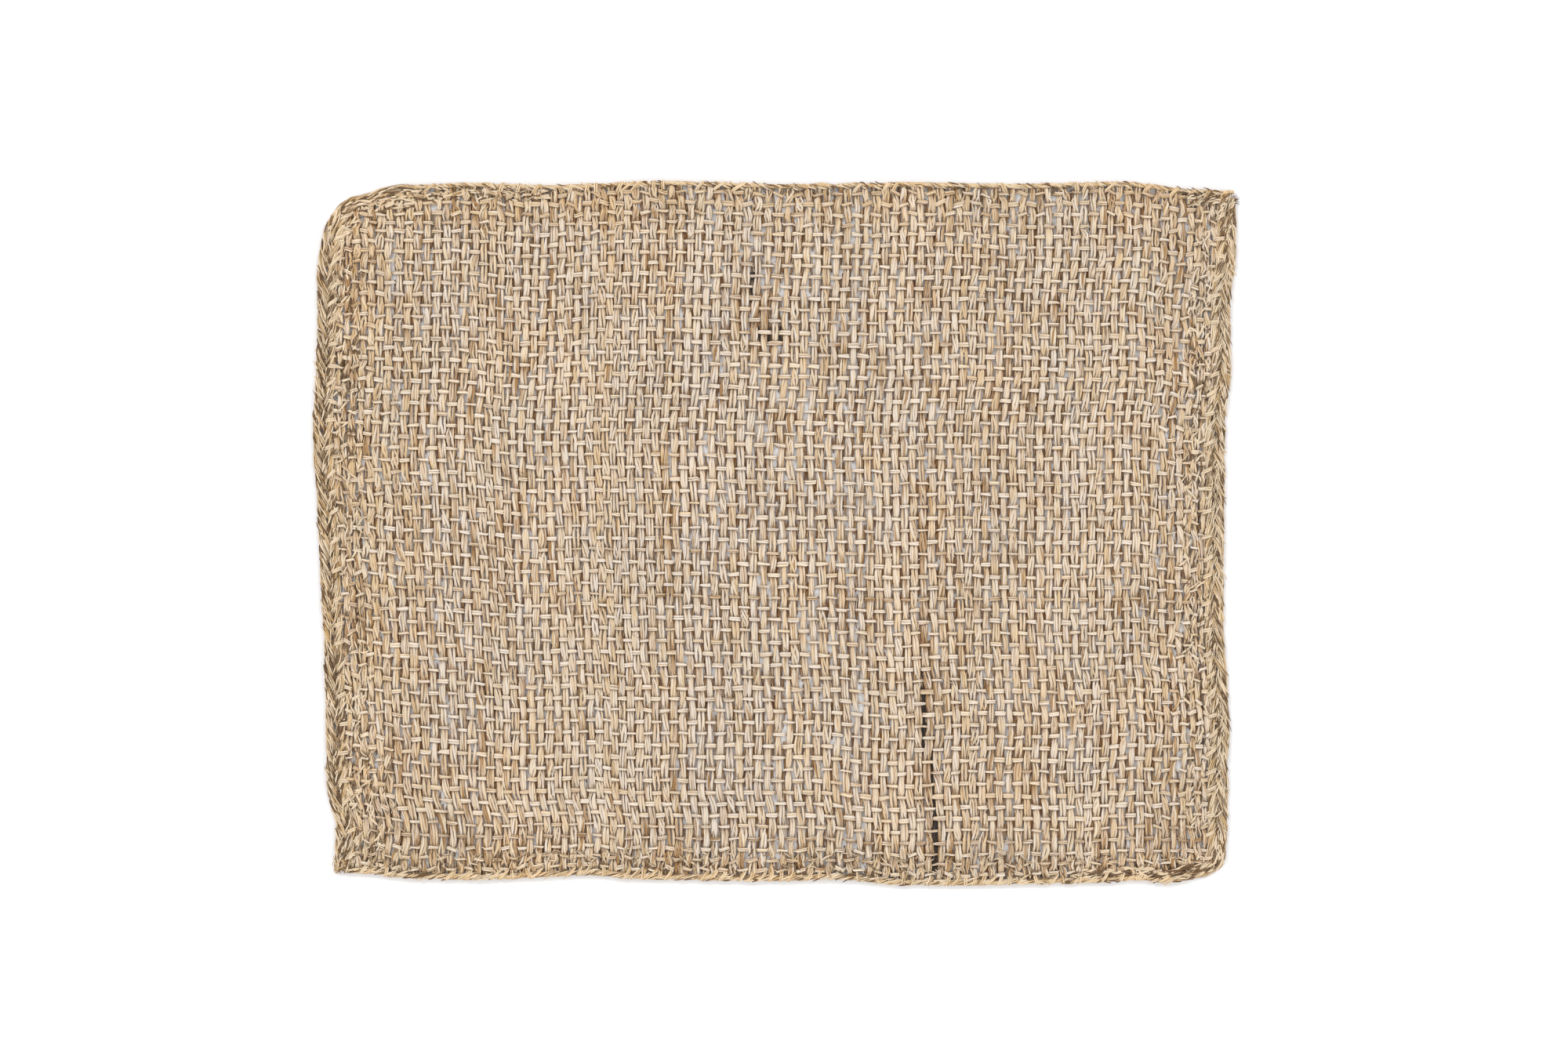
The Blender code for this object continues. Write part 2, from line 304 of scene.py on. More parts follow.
def curve_through(rows: tuple[NamedTuple, ...], at: Array, column: int = 1) -> Array:
    """Read one column of a table with a smooth curve.

    Args:
        rows: the table, its first column rising.
        at: where to read it.
        column: which column to read.

    Returns:
        The column's values, held level past both ends of the table.
    """
    knots = np.array([row[0] for row in rows], float)
    values = np.array([row[column] for row in rows], float)
    slopes = np.gradient(values, knots)
    slopes[1:-1] = (values[2:] - values[:-2]) / (knots[2:] - knots[:-2])
    place = np.clip(at, knots[0], knots[-1])
    index = np.clip(np.searchsorted(knots, place, side="right") - 1, 0, len(knots) - 2)
    span = knots[index + 1] - knots[index]
    t = (place - knots[index]) / span
    return (
        values[index] * (2 * t ** 3 - 3 * t ** 2 + 1)
        + slopes[index] * span * (t ** 3 - 2 * t ** 2 + t)
        + values[index + 1] * (3 * t ** 2 - 2 * t ** 3)
        + slopes[index + 1] * span * (t ** 3 - t ** 2)
    )


def wander(rng: Rng, count: int, knots: int, size: float) -> Array:
    """A smooth random wave.

    Args:
        rng: where the random values come from.
        count: how many values to return.
        knots: how many random values the wave runs through.
        size: their standard deviation.

    Returns:
        The wave, count values long.
    """
    knots = max(knots, 2)
    values = rng.normal(0.0, size, knots + 2)
    place = np.linspace(0.5, knots + 0.5, count)
    index = np.clip(place.astype(int), 0, knots)
    t = place - index
    ease = (1 - np.cos(math.pi * t)) / 2
    return values[index] * (1 - ease) + values[index + 1] * ease


def unit(vectors: Array) -> Array:
    """Shorten or lengthen vectors, one a row, to a length of 1."""
    return vectors / np.maximum(np.linalg.norm(vectors, axis=1, keepdims=True), TINY)


def run_lengths(points: Array) -> Array:
    """Measure how far along a line each of its points lies."""
    return np.concatenate([[0.0], np.cumsum(np.linalg.norm(np.diff(points, axis=0), axis=1))])


def joined(x: Array, y: Array, z: Array) -> Array:
    """Put a line's coordinates together, one row a point."""
    return np.stack([x, y, z], axis=1)


def raised(flat: Array, height: Array) -> Array:
    """Give the points of a flat line their heights."""
    return np.concatenate([flat, height[:, None]], axis=1)


@dataclass(frozen=True)
class Half:
    """One side of the mat with one end and the round corner between them.

    The second half is kept as it is seen after half a turn of the mat, so both
    are described as a left side with an upper end. The corner runs from height
    corner_low on the side to place corner_far on the end, both in metres, and its
    table counts along in per cent. The plait starts plait_low above the lower edge.
    """

    turn: float
    side: tuple[Sway, ...]
    end: tuple[Sway, ...]
    corner: tuple[Sway, ...]
    corner_low: float
    corner_far: float
    plait_low: float


@dataclass
class MatOutline:
    """The mat's uneven outline, from which every yarn takes its place."""

    half_width: float = 0.230
    half_depth: float = 0.175
    plait_width: float = 0.0104
    cord_width: float = 0.0034
    corner_length: float = 0.066
    plait_start: float = 0.0035
    straight_side: tuple[float, float] = (-0.171, 0.171)
    straight_end: tuple[float, float] = (-0.222, 0.232)
    left_top: Half = Half(1.0, LEFT_SIDE, TOP_END, LEFT_TOP_CORNER, 0.133, -0.184, 0.0005)
    right_bottom: Half = Half(
        -1.0, RIGHT_SIDE_TURNED, BOTTOM_END_TURNED, RIGHT_BOTTOM_CORNER, 0.150, -0.201, 0.0035
    )
    middle: Array = field(init=False)

    def __post_init__(self) -> None:
        """Find the middle of the outline's box, which is the mat's origin."""
        self.middle = np.zeros(2)
        up = np.linspace(*self.straight_side, 400)
        along = np.linspace(*self.straight_end, 500)
        left = self.side(self.left_top, up, 0.0)[:, 0]
        right = self.side(self.right_bottom, -up, 0.0)[:, 0]
        high = self.end(self.left_top, along, 0.0)[:, 1]
        low = self.end(self.right_bottom, -along, 0.0)[:, 1]
        self.middle = np.array([(left.min() + right.max()) / 2, (low.min() + high.max()) / 2])

    def side(self, half: Half, y: Array, inset: float | Array) -> Array:
        """Points of a half's side at heights y, moved into the mat by inset."""
        x = -self.half_width - curve_through(half.side, y / MM) * MM + inset
        return np.stack([x, y], axis=-1) * half.turn - self.middle

    def end(self, half: Half, x: Array, inset: float | Array) -> Array:
        """Points of a half's end at places x, moved into the mat by inset."""
        y = self.half_depth + curve_through(half.end, x / MM) * MM - inset
        return np.stack([x, y], axis=-1) * half.turn - self.middle

    def corner(self, half: Half, t: Array, side_inset: float, end_inset: float) -> Array:
        """Find points round a half's round corner.

        Args:
            half: whose corner.
            t: 0 on the side and 1 on the end.
            side_inset: how far into the mat the curve starts.
            end_inset: how far into the mat it ends.

        Returns:
            The points, one row each.
        """
        start, crown, finish = self.corner_frame(half, side_inset, end_inset)
        out = curve_through(half.corner, np.asarray(t, float) * 100) * MM
        t = np.asarray(t, float)[:, None]
        plain = start * (1 - t) ** 2 + crown * (2 * t * (1 - t)) + finish * t ** 2
        outwards = plain - np.array([finish[0], start[1]])
        return plain + unit(outwards) * out[:, None]

    def corner_frame(self, half: Half, side_inset: float, end_inset: float) -> tuple[Array, Array, Array]:
        """Find the three points that carry a round corner's curve.

        Args:
            half: whose corner.
            side_inset: how far into the mat the curve starts.
            end_inset: how far into the mat it ends.

        Returns:
            Where it leaves the side, the hard corner it rounds off, and where it meets the end.
        """
        start = self.side(half, np.array([half.corner_low]), side_inset)[0]
        finish = self.end(half, np.array([half.corner_far]), end_inset)[0]
        return start, np.array([start[0], finish[1]]), finish

    def beyond_corner(self, points: Array, side_inset: float, end_inset: float) -> Array:
        """Say which points lie outside a round corner.

        Args:
            points: places on the mat, one row each.
            side_inset: how far in the curve starts on the side.
            end_inset: how far in it ends on the end.

        Returns:
            True for each point outside.
        """
        outside = np.zeros(len(points), bool)
        for half in (self.left_top, self.right_bottom):
            curve = self.corner(half, np.linspace(0, 1, 60), side_inset, end_inset) * half.turn
            own = points * half.turn
            limit = np.interp(own[:, 0], curve[:, 0], curve[:, 1])
            outside |= (own[:, 0] < curve[-1, 0]) & (own[:, 1] > limit)
        return outside

    def edge_run(self, half: Half, step: float) -> tuple[Array, Array]:
        """Find the strip that the side's plait fills, from its hard corner round to the end.

        Args:
            half: which half of the mat.
            step: distance from one row of points to the next.

        Returns:
            The strip's outer and its inner line, row by row.
        """
        low = -self.half_depth + half.plait_low
        up = np.arange(low + self.plait_start, half.corner_low, step)
        round_it = np.linspace(0, 1, max(6, round(self.corner_length / step)))
        outer = [self.side(half, up, 0.0), self.corner(half, round_it, 0.0, 0.0)]
        inner = [
            self.side(half, up, self.plait_width),
            self.corner(half, round_it, self.plait_width, self.cord_width),
        ]
        return np.concatenate(outer), np.concatenate(inner)


@dataclass
class WeavePlan:
    """Where each warp end crosses each pick."""

    outline: MatOutline
    ends: int = 98
    picks: int = 61
    end_reach: float = 222.0
    end_jitter: float = 0.07
    pick_reach: float = 172.0
    pick_jitter: float = 0.06
    first_width: float = 0.44
    first_depth: float = 0.345
    rounds: int = 4
    parting_reach: float = 0.006
    seed: int = 7
    end_places: Array = field(init=False)
    pick_places: Array = field(init=False)
    slits: tuple[Slit, ...] = ()

    def __post_init__(self) -> None:
        """Space the yarns out, closer where the table says and each a little uneven."""
        rng = np.random.default_rng(self.seed)
        self.end_places = self.spaced(rng, self.ends, WARP_PACE, self.end_reach, self.end_jitter)
        self.pick_places = self.spaced(rng, self.picks, PICK_PACE, self.pick_reach, self.pick_jitter)
        self.slits = tuple(self.between_ends(slit) for slit in SLITS)

    def between_ends(self, slit: Slit) -> Slit:
        """Move a slit sideways to the nearest gap between two warp ends.

        Args:
            slit: the slit as it was measured.

        Returns:
            The slit in its gap.
        """
        gaps = np.arange(self.ends - 1) + 0.5
        share = (slit.y / self.pick_reach + 1) / 2
        pick = np.full(len(gaps), share * (self.picks - 1))
        x = self.crossing(gaps, pick)[:, 0]
        nearest = x[np.argmin(np.abs(x - slit.x * MM))]
        return slit._replace(x=float(nearest / MM))

    @staticmethod
    def spaced(
        rng: Rng, count: int, paces: tuple[Pace, ...], reach: float, jitter: float
    ) -> Array:
        """Shares of the way across at which count yarns lie.

        Args:
            rng: where the unevenness comes from.
            count: how many yarns.
            paces: how wide they are spaced.
            reach: half the way across, in mm.
            jitter: unevenness as a share of the spacing.

        Returns:
            One share for each yarn, from 0 to 1.
        """
        place = (np.arange(count + 1) / count * 2 - 1) * reach
        steps = curve_through(paces, place) * (1 + rng.normal(0, jitter, count + 1))
        marks = np.cumsum(steps) - steps / 2
        marks = (marks - marks[0]) / (marks[-1] - marks[0])
        return (marks[1:] + marks[:-1]) / 2

    @staticmethod
    def at(places: Array, index: Array) -> Array:
        """Read the yarns' places between two yarns and past the last ones.

        Args:
            places: the place of each yarn.
            index: which yarns, also in between and past both ends.

        Returns:
            A place for each index.
        """
        last = len(places) - 1
        low = places[0] + (places[1] - places[0]) * np.minimum(index, 0)
        high = (places[last] - places[last - 1]) * np.maximum(index - last, 0)
        inner = np.interp(index, np.arange(last + 1), places)
        return np.where(index < 0, low, inner + high)

    def crossing(self, end: Array, pick: Array) -> Array:
        """Find the places of crossings on the mat.

        Args:
            end: the warp end's index, which may fall between two.
            pick: the pick's index, which may fall between two.

        Returns:
            A place for each pair, one row each.
        """
        shape = self.outline
        half_in, end_in = shape.plait_width, shape.cord_width
        u, v = self.at(self.end_places, end), self.at(self.pick_places, pick)
        x, y = (u - 0.5) * self.first_width, (v - 0.5) * self.first_depth
        for _ in range(self.rounds):
            left = shape.side(shape.left_top, y + shape.middle[1], half_in)[:, 0]
            right = shape.side(shape.right_bottom, -y - shape.middle[1], half_in)[:, 0]
            high = shape.end(shape.left_top, x + shape.middle[0], end_in)[:, 1]
            low = shape.end(shape.right_bottom, -x - shape.middle[0], end_in)[:, 1]
            x = left * (1 - u) + right * u
            y = low * (1 - v) + high * v + self.sag(x, v)
        return np.stack([x + self.parting(x, y), y], axis=-1)

    @staticmethod
    def sag(x: Array, v: Array) -> Array:
        """Find how far picks lie above their even places.

        Args:
            x: places across the mat.
            v: shares of the way up the mat.

        Returns:
            The height above for each place, nothing along both ends of the mat.
        """
        upper, middle, lower = (curve_through(PICK_SAG, x / MM, column) * MM for column in (1, 2, 3))
        knots = np.array(SAG_SHARES)
        zero = np.zeros_like(upper)
        heights = np.stack([zero, lower, middle, upper, zero])
        spot = np.clip(v, 0, 1)
        index = np.clip(np.searchsorted(knots, spot, side="right") - 1, 0, 3)
        t = (spot - knots[index]) / (knots[index + 1] - knots[index])
        ease = (1 - np.cos(math.pi * t)) / 2
        columns = np.arange(len(spot))
        return heights[index, columns] * (1 - ease) + heights[index + 1, columns] * ease

    def parting(self, x: Array, y: Array) -> Array:
        """Find how far a yarn is pushed sideways by the slits near it.

        Args:
            x: its places across the mat.
            y: its places up the mat.

        Returns:
            The push at each place.
        """
        push = np.zeros_like(x)
        for slit in self.slits:
            away = x - slit.x * MM
            fade = np.clip(1 - ((y - slit.y * MM) / (slit.half_length * MM)) ** 2, 0, 1)
            most = slit.opening * MM * np.exp(-np.abs(away) / self.parting_reach)
            push += np.sign(away) * most * np.sqrt(fade)
        return push


@dataclass
class StrandMesh:
    """Sweeps strands of fibre and gathers them in one mesh object."""

    name: str
    points: list[Array] = field(default_factory=list)
    faces: list[Array] = field(default_factory=list)
    grains: list[Array] = field(default_factory=list)
    tones: list[Array] = field(default_factory=list)
    strips: list[tuple[int, float, int]] = field(default_factory=list)
    total: int = 0
    grain_shift: float = 0.0137
    grain_span: float = 1.7
    strip_breadth: float = 0.0036
    strip_gap: float = 0.002
    shelf_pad: float = 0.12

    def add(
        self, line: Array, wide: Array | float, thick: Array | float,
        tone: Array | float = 0.5, brown: Array | float = 0.0, gold: Array | float = 0.3,
        section: tuple[SectionPoint, ...] = FLAT_SECTION,
    ) -> None:
        """Sweep one strand along a line.

        Args:
            line: the strand's middle, one row a point.
            wide: half its width across the line, level with the table.
            thick: half its thickness.
            tone: how light its fibre is, below 0 for darker fibre than the common straw.
            brown: how brown its fibre is, 0 or less for hardly any and 1 for nearly all.
            gold: how golden its fibre is, from 0 to 1.
            section: the corners of its section.
        """
        count = len(line)
        if count < 2:
            return
        ahead = unit(np.gradient(line, axis=0))
        level = unit(joined(-ahead[:, 1], ahead[:, 0], np.zeros(count)))
        upright = np.cross(ahead, level)
        sides = len(section)
        wide, thick, tone, brown, gold = (
            np.broadcast_to(np.asarray(value, float), (count,)) for value in (wide, thick, tone, brown, gold)
        )
        across = np.array([corner.across for corner in section])[None, :] * wide[:, None]
        above = np.array([corner.above for corner in section])[None, :] * thick[:, None]
        ring = line[:, None, :] + across[..., None] * level[:, None, :]
        ring = ring + above[..., None] * upright[:, None, :]
        ring[..., 2] = np.maximum(ring[..., 2], FLOOR_GAP)
        length = run_lengths(line)
        offset = (self.total * self.grain_shift) % self.grain_span
        run = np.broadcast_to((length + offset)[:, None], across.shape)
        grain = np.stack([across, above, run], axis=-1)
        row = np.arange(count - 1)[:, None] * sides
        column = np.arange(sides)[None, :]
        following = (column + 1) % sides
        first, last = self.total, self.total + (count - 1) * sides
        quads = np.stack(
            [row + column, row + following, row + sides + following, row + sides + column], axis=-1
        )
        cap = np.arange(sides)[None, :]
        self.faces += [quads.reshape(-1, 4)[:, ::-1] + first, first + cap, last + cap[:, ::-1]]
        self.points.append(ring.reshape(-1, 3))
        self.grains.append(grain.reshape(-1, 3))
        # Painted shade: the crown share falls towards the table and drops at a section's lower corners, and
        # the shader darkens the colour to brown where it is low
        rim = np.array([0.0 if corner.above > 0 else RIM_SHADE for corner in section])
        crown = np.clip(ring[..., 2] / LIT_HEIGHT - rim[None, :], 0, 1).reshape(-1)
        tone, brown, gold = (np.repeat(value, sides) for value in (tone, brown, gold))
        self.tones.append(np.stack([tone, brown, crown, gold], axis=1))
        self.strips.append((count, float(length[-1]), sides))
        self.total += count * sides

    def flat_map(self) -> Array:
        """Lay every strand out as a straight strip on shelves of a square.

        Returns:
            A place for each corner of each face, in the order of the faces.
        """
        lengths = np.array([strip[1] for strip in self.strips])
        reach = max(lengths.max() * 1.01, math.sqrt(lengths.sum() * self.strip_breadth))
        shelf, used, spots = 0, 0.0, []
        for length in lengths:
            if used + length > reach and used > 0:
                shelf, used = shelf + 1, 0.0
            spots.append((used / reach, shelf))
            used += length + self.strip_gap
        shelves = shelf + 1
        pad = self.shelf_pad / shelves
        corners = []
        for (count, length, sides), (start, level) in zip(self.strips, spots):
            u = start + np.linspace(0, length / reach, count)
            v = (level / shelves) + pad + (1 / shelves - 2 * pad) * np.arange(sides + 1) / sides
            u_near, v_near = np.meshgrid(u[:-1], v[:-1], indexing="ij")
            u_far, v_far = np.meshgrid(u[1:], v[1:], indexing="ij")
            spots_u = np.stack([u_near, u_near, u_far, u_far], axis=2)
            spots_v = np.stack([v_near, v_far, v_far, v_near], axis=2)
            corners.append(np.stack([spots_u, spots_v], axis=-1).reshape(-1, 2))
            for end in (u[0], u[-1]):
                corners.append(np.stack([np.full(sides, end), v[:sides]], axis=1))
        return np.concatenate(corners)

    def build(self, material: Material) -> Thing:
        """Make the object.

        Args:
            material: the finish of all its strands.

        Returns:
            The object, linked to the scene and riding on the mat's body.
        """
        points = np.concatenate(self.points)
        loops = np.concatenate([face.reshape(-1) for face in self.faces])
        sizes = np.concatenate([np.full(len(face), face.shape[1]) for face in self.faces])
        starts = np.concatenate([[0], np.cumsum(sizes)[:-1]])
        mesh = bpy.data.meshes.new(self.name)
        mesh.vertices.add(len(points))
        mesh.vertices.foreach_set("co", points.astype(np.float32).ravel())
        mesh.loops.add(len(loops))
        mesh.loops.foreach_set("vertex_index", loops.astype(np.int32))
        mesh.polygons.add(len(sizes))
        mesh.polygons.foreach_set("loop_start", starts.astype(np.int32))
        mesh.polygons.foreach_set("use_smooth", np.ones(len(sizes), bool))
        mesh.update(calc_edges=True)
        grain = mesh.attributes.new("grain", "FLOAT_VECTOR", "POINT")
        grain.data.foreach_set("vector", np.concatenate(self.grains).astype(np.float32).ravel())
        tone = mesh.attributes.new("tone", "FLOAT_COLOR", "POINT")
        tone.data.foreach_set("color", np.concatenate(self.tones).astype(np.float32).ravel())
        flat = mesh.uv_layers.new(name="OFBake")
        flat.data.foreach_set("uv", self.flat_map().astype(np.float32).ravel())
        mesh.materials.append(material)
        thing = bpy.data.objects.new(self.name, mesh)
        bpy.context.scene.collection.objects.link(thing)
        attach(thing, ROOT)
        return thing


@dataclass
class Wiring:
    """Adds nodes to a shader's tree and joins them up."""

    tree: bpy.types.NodeTree

    @classmethod
    def group(cls, name: str, inputs: dict[str, tuple[str, object]], outputs: dict[str, str]) -> "Wiring":
        """Open a new shader group with its sockets.

        Args:
            name: the group's name.
            inputs: socket type and default value by socket name.
            outputs: socket type by socket name.

        Returns:
            The wiring of the group's tree, with its input and output nodes.
        """
        tree = bpy.data.node_groups.new(name, "ShaderNodeTree")
        for label, (kind, value) in inputs.items():
            tree.interface.new_socket(label, in_out="INPUT", socket_type=kind).default_value = value
        for label, kind in outputs.items():
            tree.interface.new_socket(label, in_out="OUTPUT", socket_type=kind)
        tree.nodes.new("NodeGroupInput").name = "in"
        tree.nodes.new("NodeGroupOutput").name = "out"
        return cls(tree)

    def node(self, kind: str) -> bpy.types.Node:
        """Add a shader node."""
        return self.tree.nodes.new("ShaderNode" + kind)

    def join(self, value: object, slot: Socket) -> None:
        """Feed an input from a socket, or set it to a plain value.

        Args:
            value: the socket, or the plain value.
            slot: the input.
        """
        if isinstance(value, Socket):
            self.tree.links.new(value, slot)
        else:
            slot.default_value = value

    def attribute(self, name: str) -> bpy.types.Node:
        """Add a node that reads one of the mesh's attributes.

        Args:
            name: the attribute's name.

        Returns:
            The node.
        """
        node = self.node("Attribute")
        node.attribute_name = name
        return node

    def noise(self, vector: Socket, scale: float) -> Socket:
        """Add a noise texture.

        Args:
            vector: where it is read.
            scale: how many of its waves fit in one unit.

        Returns:
            Its value.
        """
        node = self.node("TexNoise")
        node.inputs["Scale"].default_value = scale
        node.inputs["Detail"].default_value = 2.0
        self.join(vector, node.inputs["Vector"])
        return node.outputs["Fac"]

    def maths(self, kind: str, *values: object) -> Socket:
        """Add a maths node.

        Args:
            kind: what it works out.
            values: its inputs, each a socket or a plain number.

        Returns:
            Its value.
        """
        node = self.node("Math")
        node.operation = kind
        for slot, value in zip(node.inputs, values):
            self.join(value, slot)
        return node.outputs[0]

    def blend(self, share: object, first: object, second: object, kind: str = "MIX") -> Socket:
        """Mix two colours.

        Args:
            share: how much of the second there is, a socket or a number.
            first: the first colour, a socket or a plain colour.
            second: the second colour, a socket or a plain colour.
            kind: how they are mixed.

        Returns:
            The mixture.
        """
        node = self.node("Mix")
        node.data_type = "RGBA"
        node.blend_type = kind
        for number, value in ((0, share), (6, first), (7, second)):
            self.join(value, node.inputs[number])
        return node.outputs[2]

    def stretch(
        self, value: Socket, low: float, high: float, bottom: float = 0.0, top: float = 1.0
    ) -> Socket:
        """Stretch part of a value's range, with soft ends.

        Args:
            value: the value.
            low: where the part starts.
            high: where it stops.
            bottom: what low becomes.
            top: what high becomes.

        Returns:
            The stretched value.
        """
        node = self.node("MapRange")
        node.interpolation_type = "SMOOTHSTEP"
        for label, number in (("From Min", low), ("From Max", high), ("To Min", bottom), ("To Max", top)):
            node.inputs[label].default_value = number
        self.join(value, node.inputs["Value"])
        return node.outputs["Result"]


class ShaderGroups:
    """The fibre effects that every finish of the mat shares."""

    def __init__(self) -> None:
        """Build each group once."""
        self.grain = self.make_grain()
        self.patches = self.make_patches()

    @staticmethod
    def make_grain() -> bpy.types.NodeTree:
        """Long fibre streaks that run along each strand, in three colours, with painted shade on low parts
        and rims.

        Returns:
            The group's node tree.
        """
        wires = Wiring.group(
            "Fibre grain",
            {
                "Pale": ("NodeSocketColor", (0.8, 0.66, 0.5, 1)),
                "Straw": ("NodeSocketColor", (0.55, 0.42, 0.29, 1)),
                "Brown": ("NodeSocketColor", (0.22, 0.12, 0.05, 1)),
                "Streak Width": ("NodeSocketFloat", 0.0004),
                "Streak Length": ("NodeSocketFloat", 0.02),
            },
            {"Color": "NodeSocketColor", "Roughness": "NodeSocketFloat", "Height": "NodeSocketFloat"},
        )
        source, sink = wires.tree.nodes["in"], wires.tree.nodes["out"]
        grain, tone = wires.attribute("grain"), wires.attribute("tone")
        parts, scaled = wires.node("SeparateXYZ"), wires.node("CombineXYZ")
        wires.join(grain.outputs["Vector"], parts.inputs[0])
        for axis, size in (("X", "Streak Width"), ("Y", "Streak Width"), ("Z", "Streak Length")):
            wires.join(wires.maths("DIVIDE", parts.outputs[axis], source.outputs[size]), scaled.inputs[axis])
        streak, fine, slow = (wires.noise(scaled.outputs[0], scale) for scale in (1.0, 3.3, 0.6))
        tones = wires.node("SeparateColor")
        wires.join(tone.outputs["Color"], tones.inputs[0])
        tone_share, brown_share, crown = tones.outputs
        lines = wires.maths("ADD", wires.maths("MULTIPLY", streak, 1.5), wires.maths("MULTIPLY", fine, 0.9))
        pale = wires.stretch(wires.maths("ADD", lines, tone_share), 0.84, 1.42)
        colour = wires.blend(pale, source.outputs["Straw"], source.outputs["Pale"])
        gold = wires.blend(tone.outputs["Alpha"], (1.0, 0.985, 0.99, 1), (1.02, 0.94, 0.79, 1))
        colour = wires.blend(1.0, colour, gold, "MULTIPLY")
        dark = wires.maths("ADD", wires.maths("MULTIPLY", slow, 2.0), brown_share)
        dark = wires.maths("SUBTRACT", dark, wires.maths("MULTIPLY", lines, 0.75))
        colour = wires.blend(wires.stretch(dark, 0.14, 0.80), colour, source.outputs["Brown"])
        # Painted shade: where the crown share is low, near the table and along the lower rims, the colour is
        # multiplied towards a dark brown
        shade = wires.blend(wires.stretch(crown, 0.04, 0.36), (0.66, 0.40, 0.16, 1), (1, 1, 1, 1))
        wires.join(wires.blend(1.0, colour, shade, "MULTIPLY"), sink.inputs["Color"])
        rough = wires.maths("SUBTRACT", 0.92, wires.maths("MULTIPLY", pale, 0.22))
        wires.join(rough, sink.inputs["Roughness"])
        wires.join(lines, sink.inputs["Height"])
        return wires.tree

    @staticmethod
    def make_patches() -> bpy.types.NodeTree:
        """Broad warm and cool patches over the whole mat, as undyed fibre has.

        Returns:
            The group's node tree.
        """
        wires = Wiring.group(
            "Undyed patches",
            {"Color": ("NodeSocketColor", (0.5, 0.5, 0.5, 1)), "Size": ("NodeSocketFloat", 0.05)},
            {"Color": "NodeSocketColor"},
        )
        source, sink = wires.tree.nodes["in"], wires.tree.nodes["out"]
        place, scale = wires.node("TexCoord"), wires.node("VectorMath")
        scale.operation = "SCALE"
        wires.join(place.outputs["Object"], scale.inputs[0])
        wires.join(wires.maths("DIVIDE", 1.0, source.outputs["Size"]), scale.inputs["Scale"])
        broad = wires.stretch(wires.noise(scale.outputs[0], 1.0), 0.35, 0.68)
        tint = wires.blend(broad, (0.965, 0.975, 0.985, 1), (1.02, 1.0, 0.965, 1))
        wires.join(wires.blend(1.0, source.outputs["Color"], tint, "MULTIPLY"), sink.inputs["Color"])
        return wires.tree


@dataclass(frozen=True)
class FibreFinish:
    """The finish of one kind of yarn."""

    name: str
    pale: tuple[float, float, float]
    straw: tuple[float, float, float]
    brown: tuple[float, float, float]
    streak_width: float = 0.00026
    streak_length: float = 0.009
    bump: float = 0.5
    bump_height: float = 0.00025
    sheen: float = 0.15
    specular: float = 0.35

    def build(self, groups: ShaderGroups) -> Material:
        """Make the material.

        Args:
            groups: the shared fibre effects.

        Returns:
            A Principled material with this finish.
        """
        material = bpy.data.materials.new(self.name)
        material.use_nodes = True
        wires = Wiring(material.node_tree)
        shader = wires.tree.nodes["Principled BSDF"]
        grain, patches, bump = wires.node("Group"), wires.node("Group"), wires.node("Bump")
        grain.node_tree, patches.node_tree = groups.grain, groups.patches
        for label, colour in (("Pale", self.pale), ("Straw", self.straw), ("Brown", self.brown)):
            grain.inputs[label].default_value = (*colour, 1.0)
        grain.inputs["Streak Width"].default_value = self.streak_width
        grain.inputs["Streak Length"].default_value = self.streak_length
        bump.inputs["Strength"].default_value = self.bump
        bump.inputs["Distance"].default_value = self.bump_height
        shader.inputs["Sheen Weight"].default_value = self.sheen
        shader.inputs["Specular IOR Level"].default_value = self.specular
        wires.join(grain.outputs["Color"], patches.inputs["Color"])
        wires.join(patches.outputs["Color"], shader.inputs["Base Color"])
        wires.join(grain.outputs["Roughness"], shader.inputs["Roughness"])
        wires.join(grain.outputs["Height"], bump.inputs["Height"])
        wires.join(bump.outputs["Normal"], shader.inputs["Normal"])
        return material


WARP_FINISH = FibreFinish("warp_fibre", (0.572, 0.511, 0.440), (0.520, 0.406, 0.272), (0.25, 0.128, 0.037))
WEFT_FINISH = FibreFinish("weft_fibre", (0.635, 0.572, 0.495), (0.522, 0.412, 0.282), (0.26, 0.136, 0.042))
PLAIT_FINISH = FibreFinish("plait_fibre", (0.595, 0.496, 0.368), (0.445, 0.312, 0.158), (0.11, 0.054, 0.015))
CORD_FINISH = FibreFinish("cord_fibre", (0.635, 0.520, 0.372), (0.470, 0.324, 0.160), (0.15, 0.072, 0.020))
DARK_FINISH = FibreFinish("dark_fibre", (0.16, 0.10, 0.06), (0.07, 0.04, 0.02), (0.022, 0.013, 0.007))


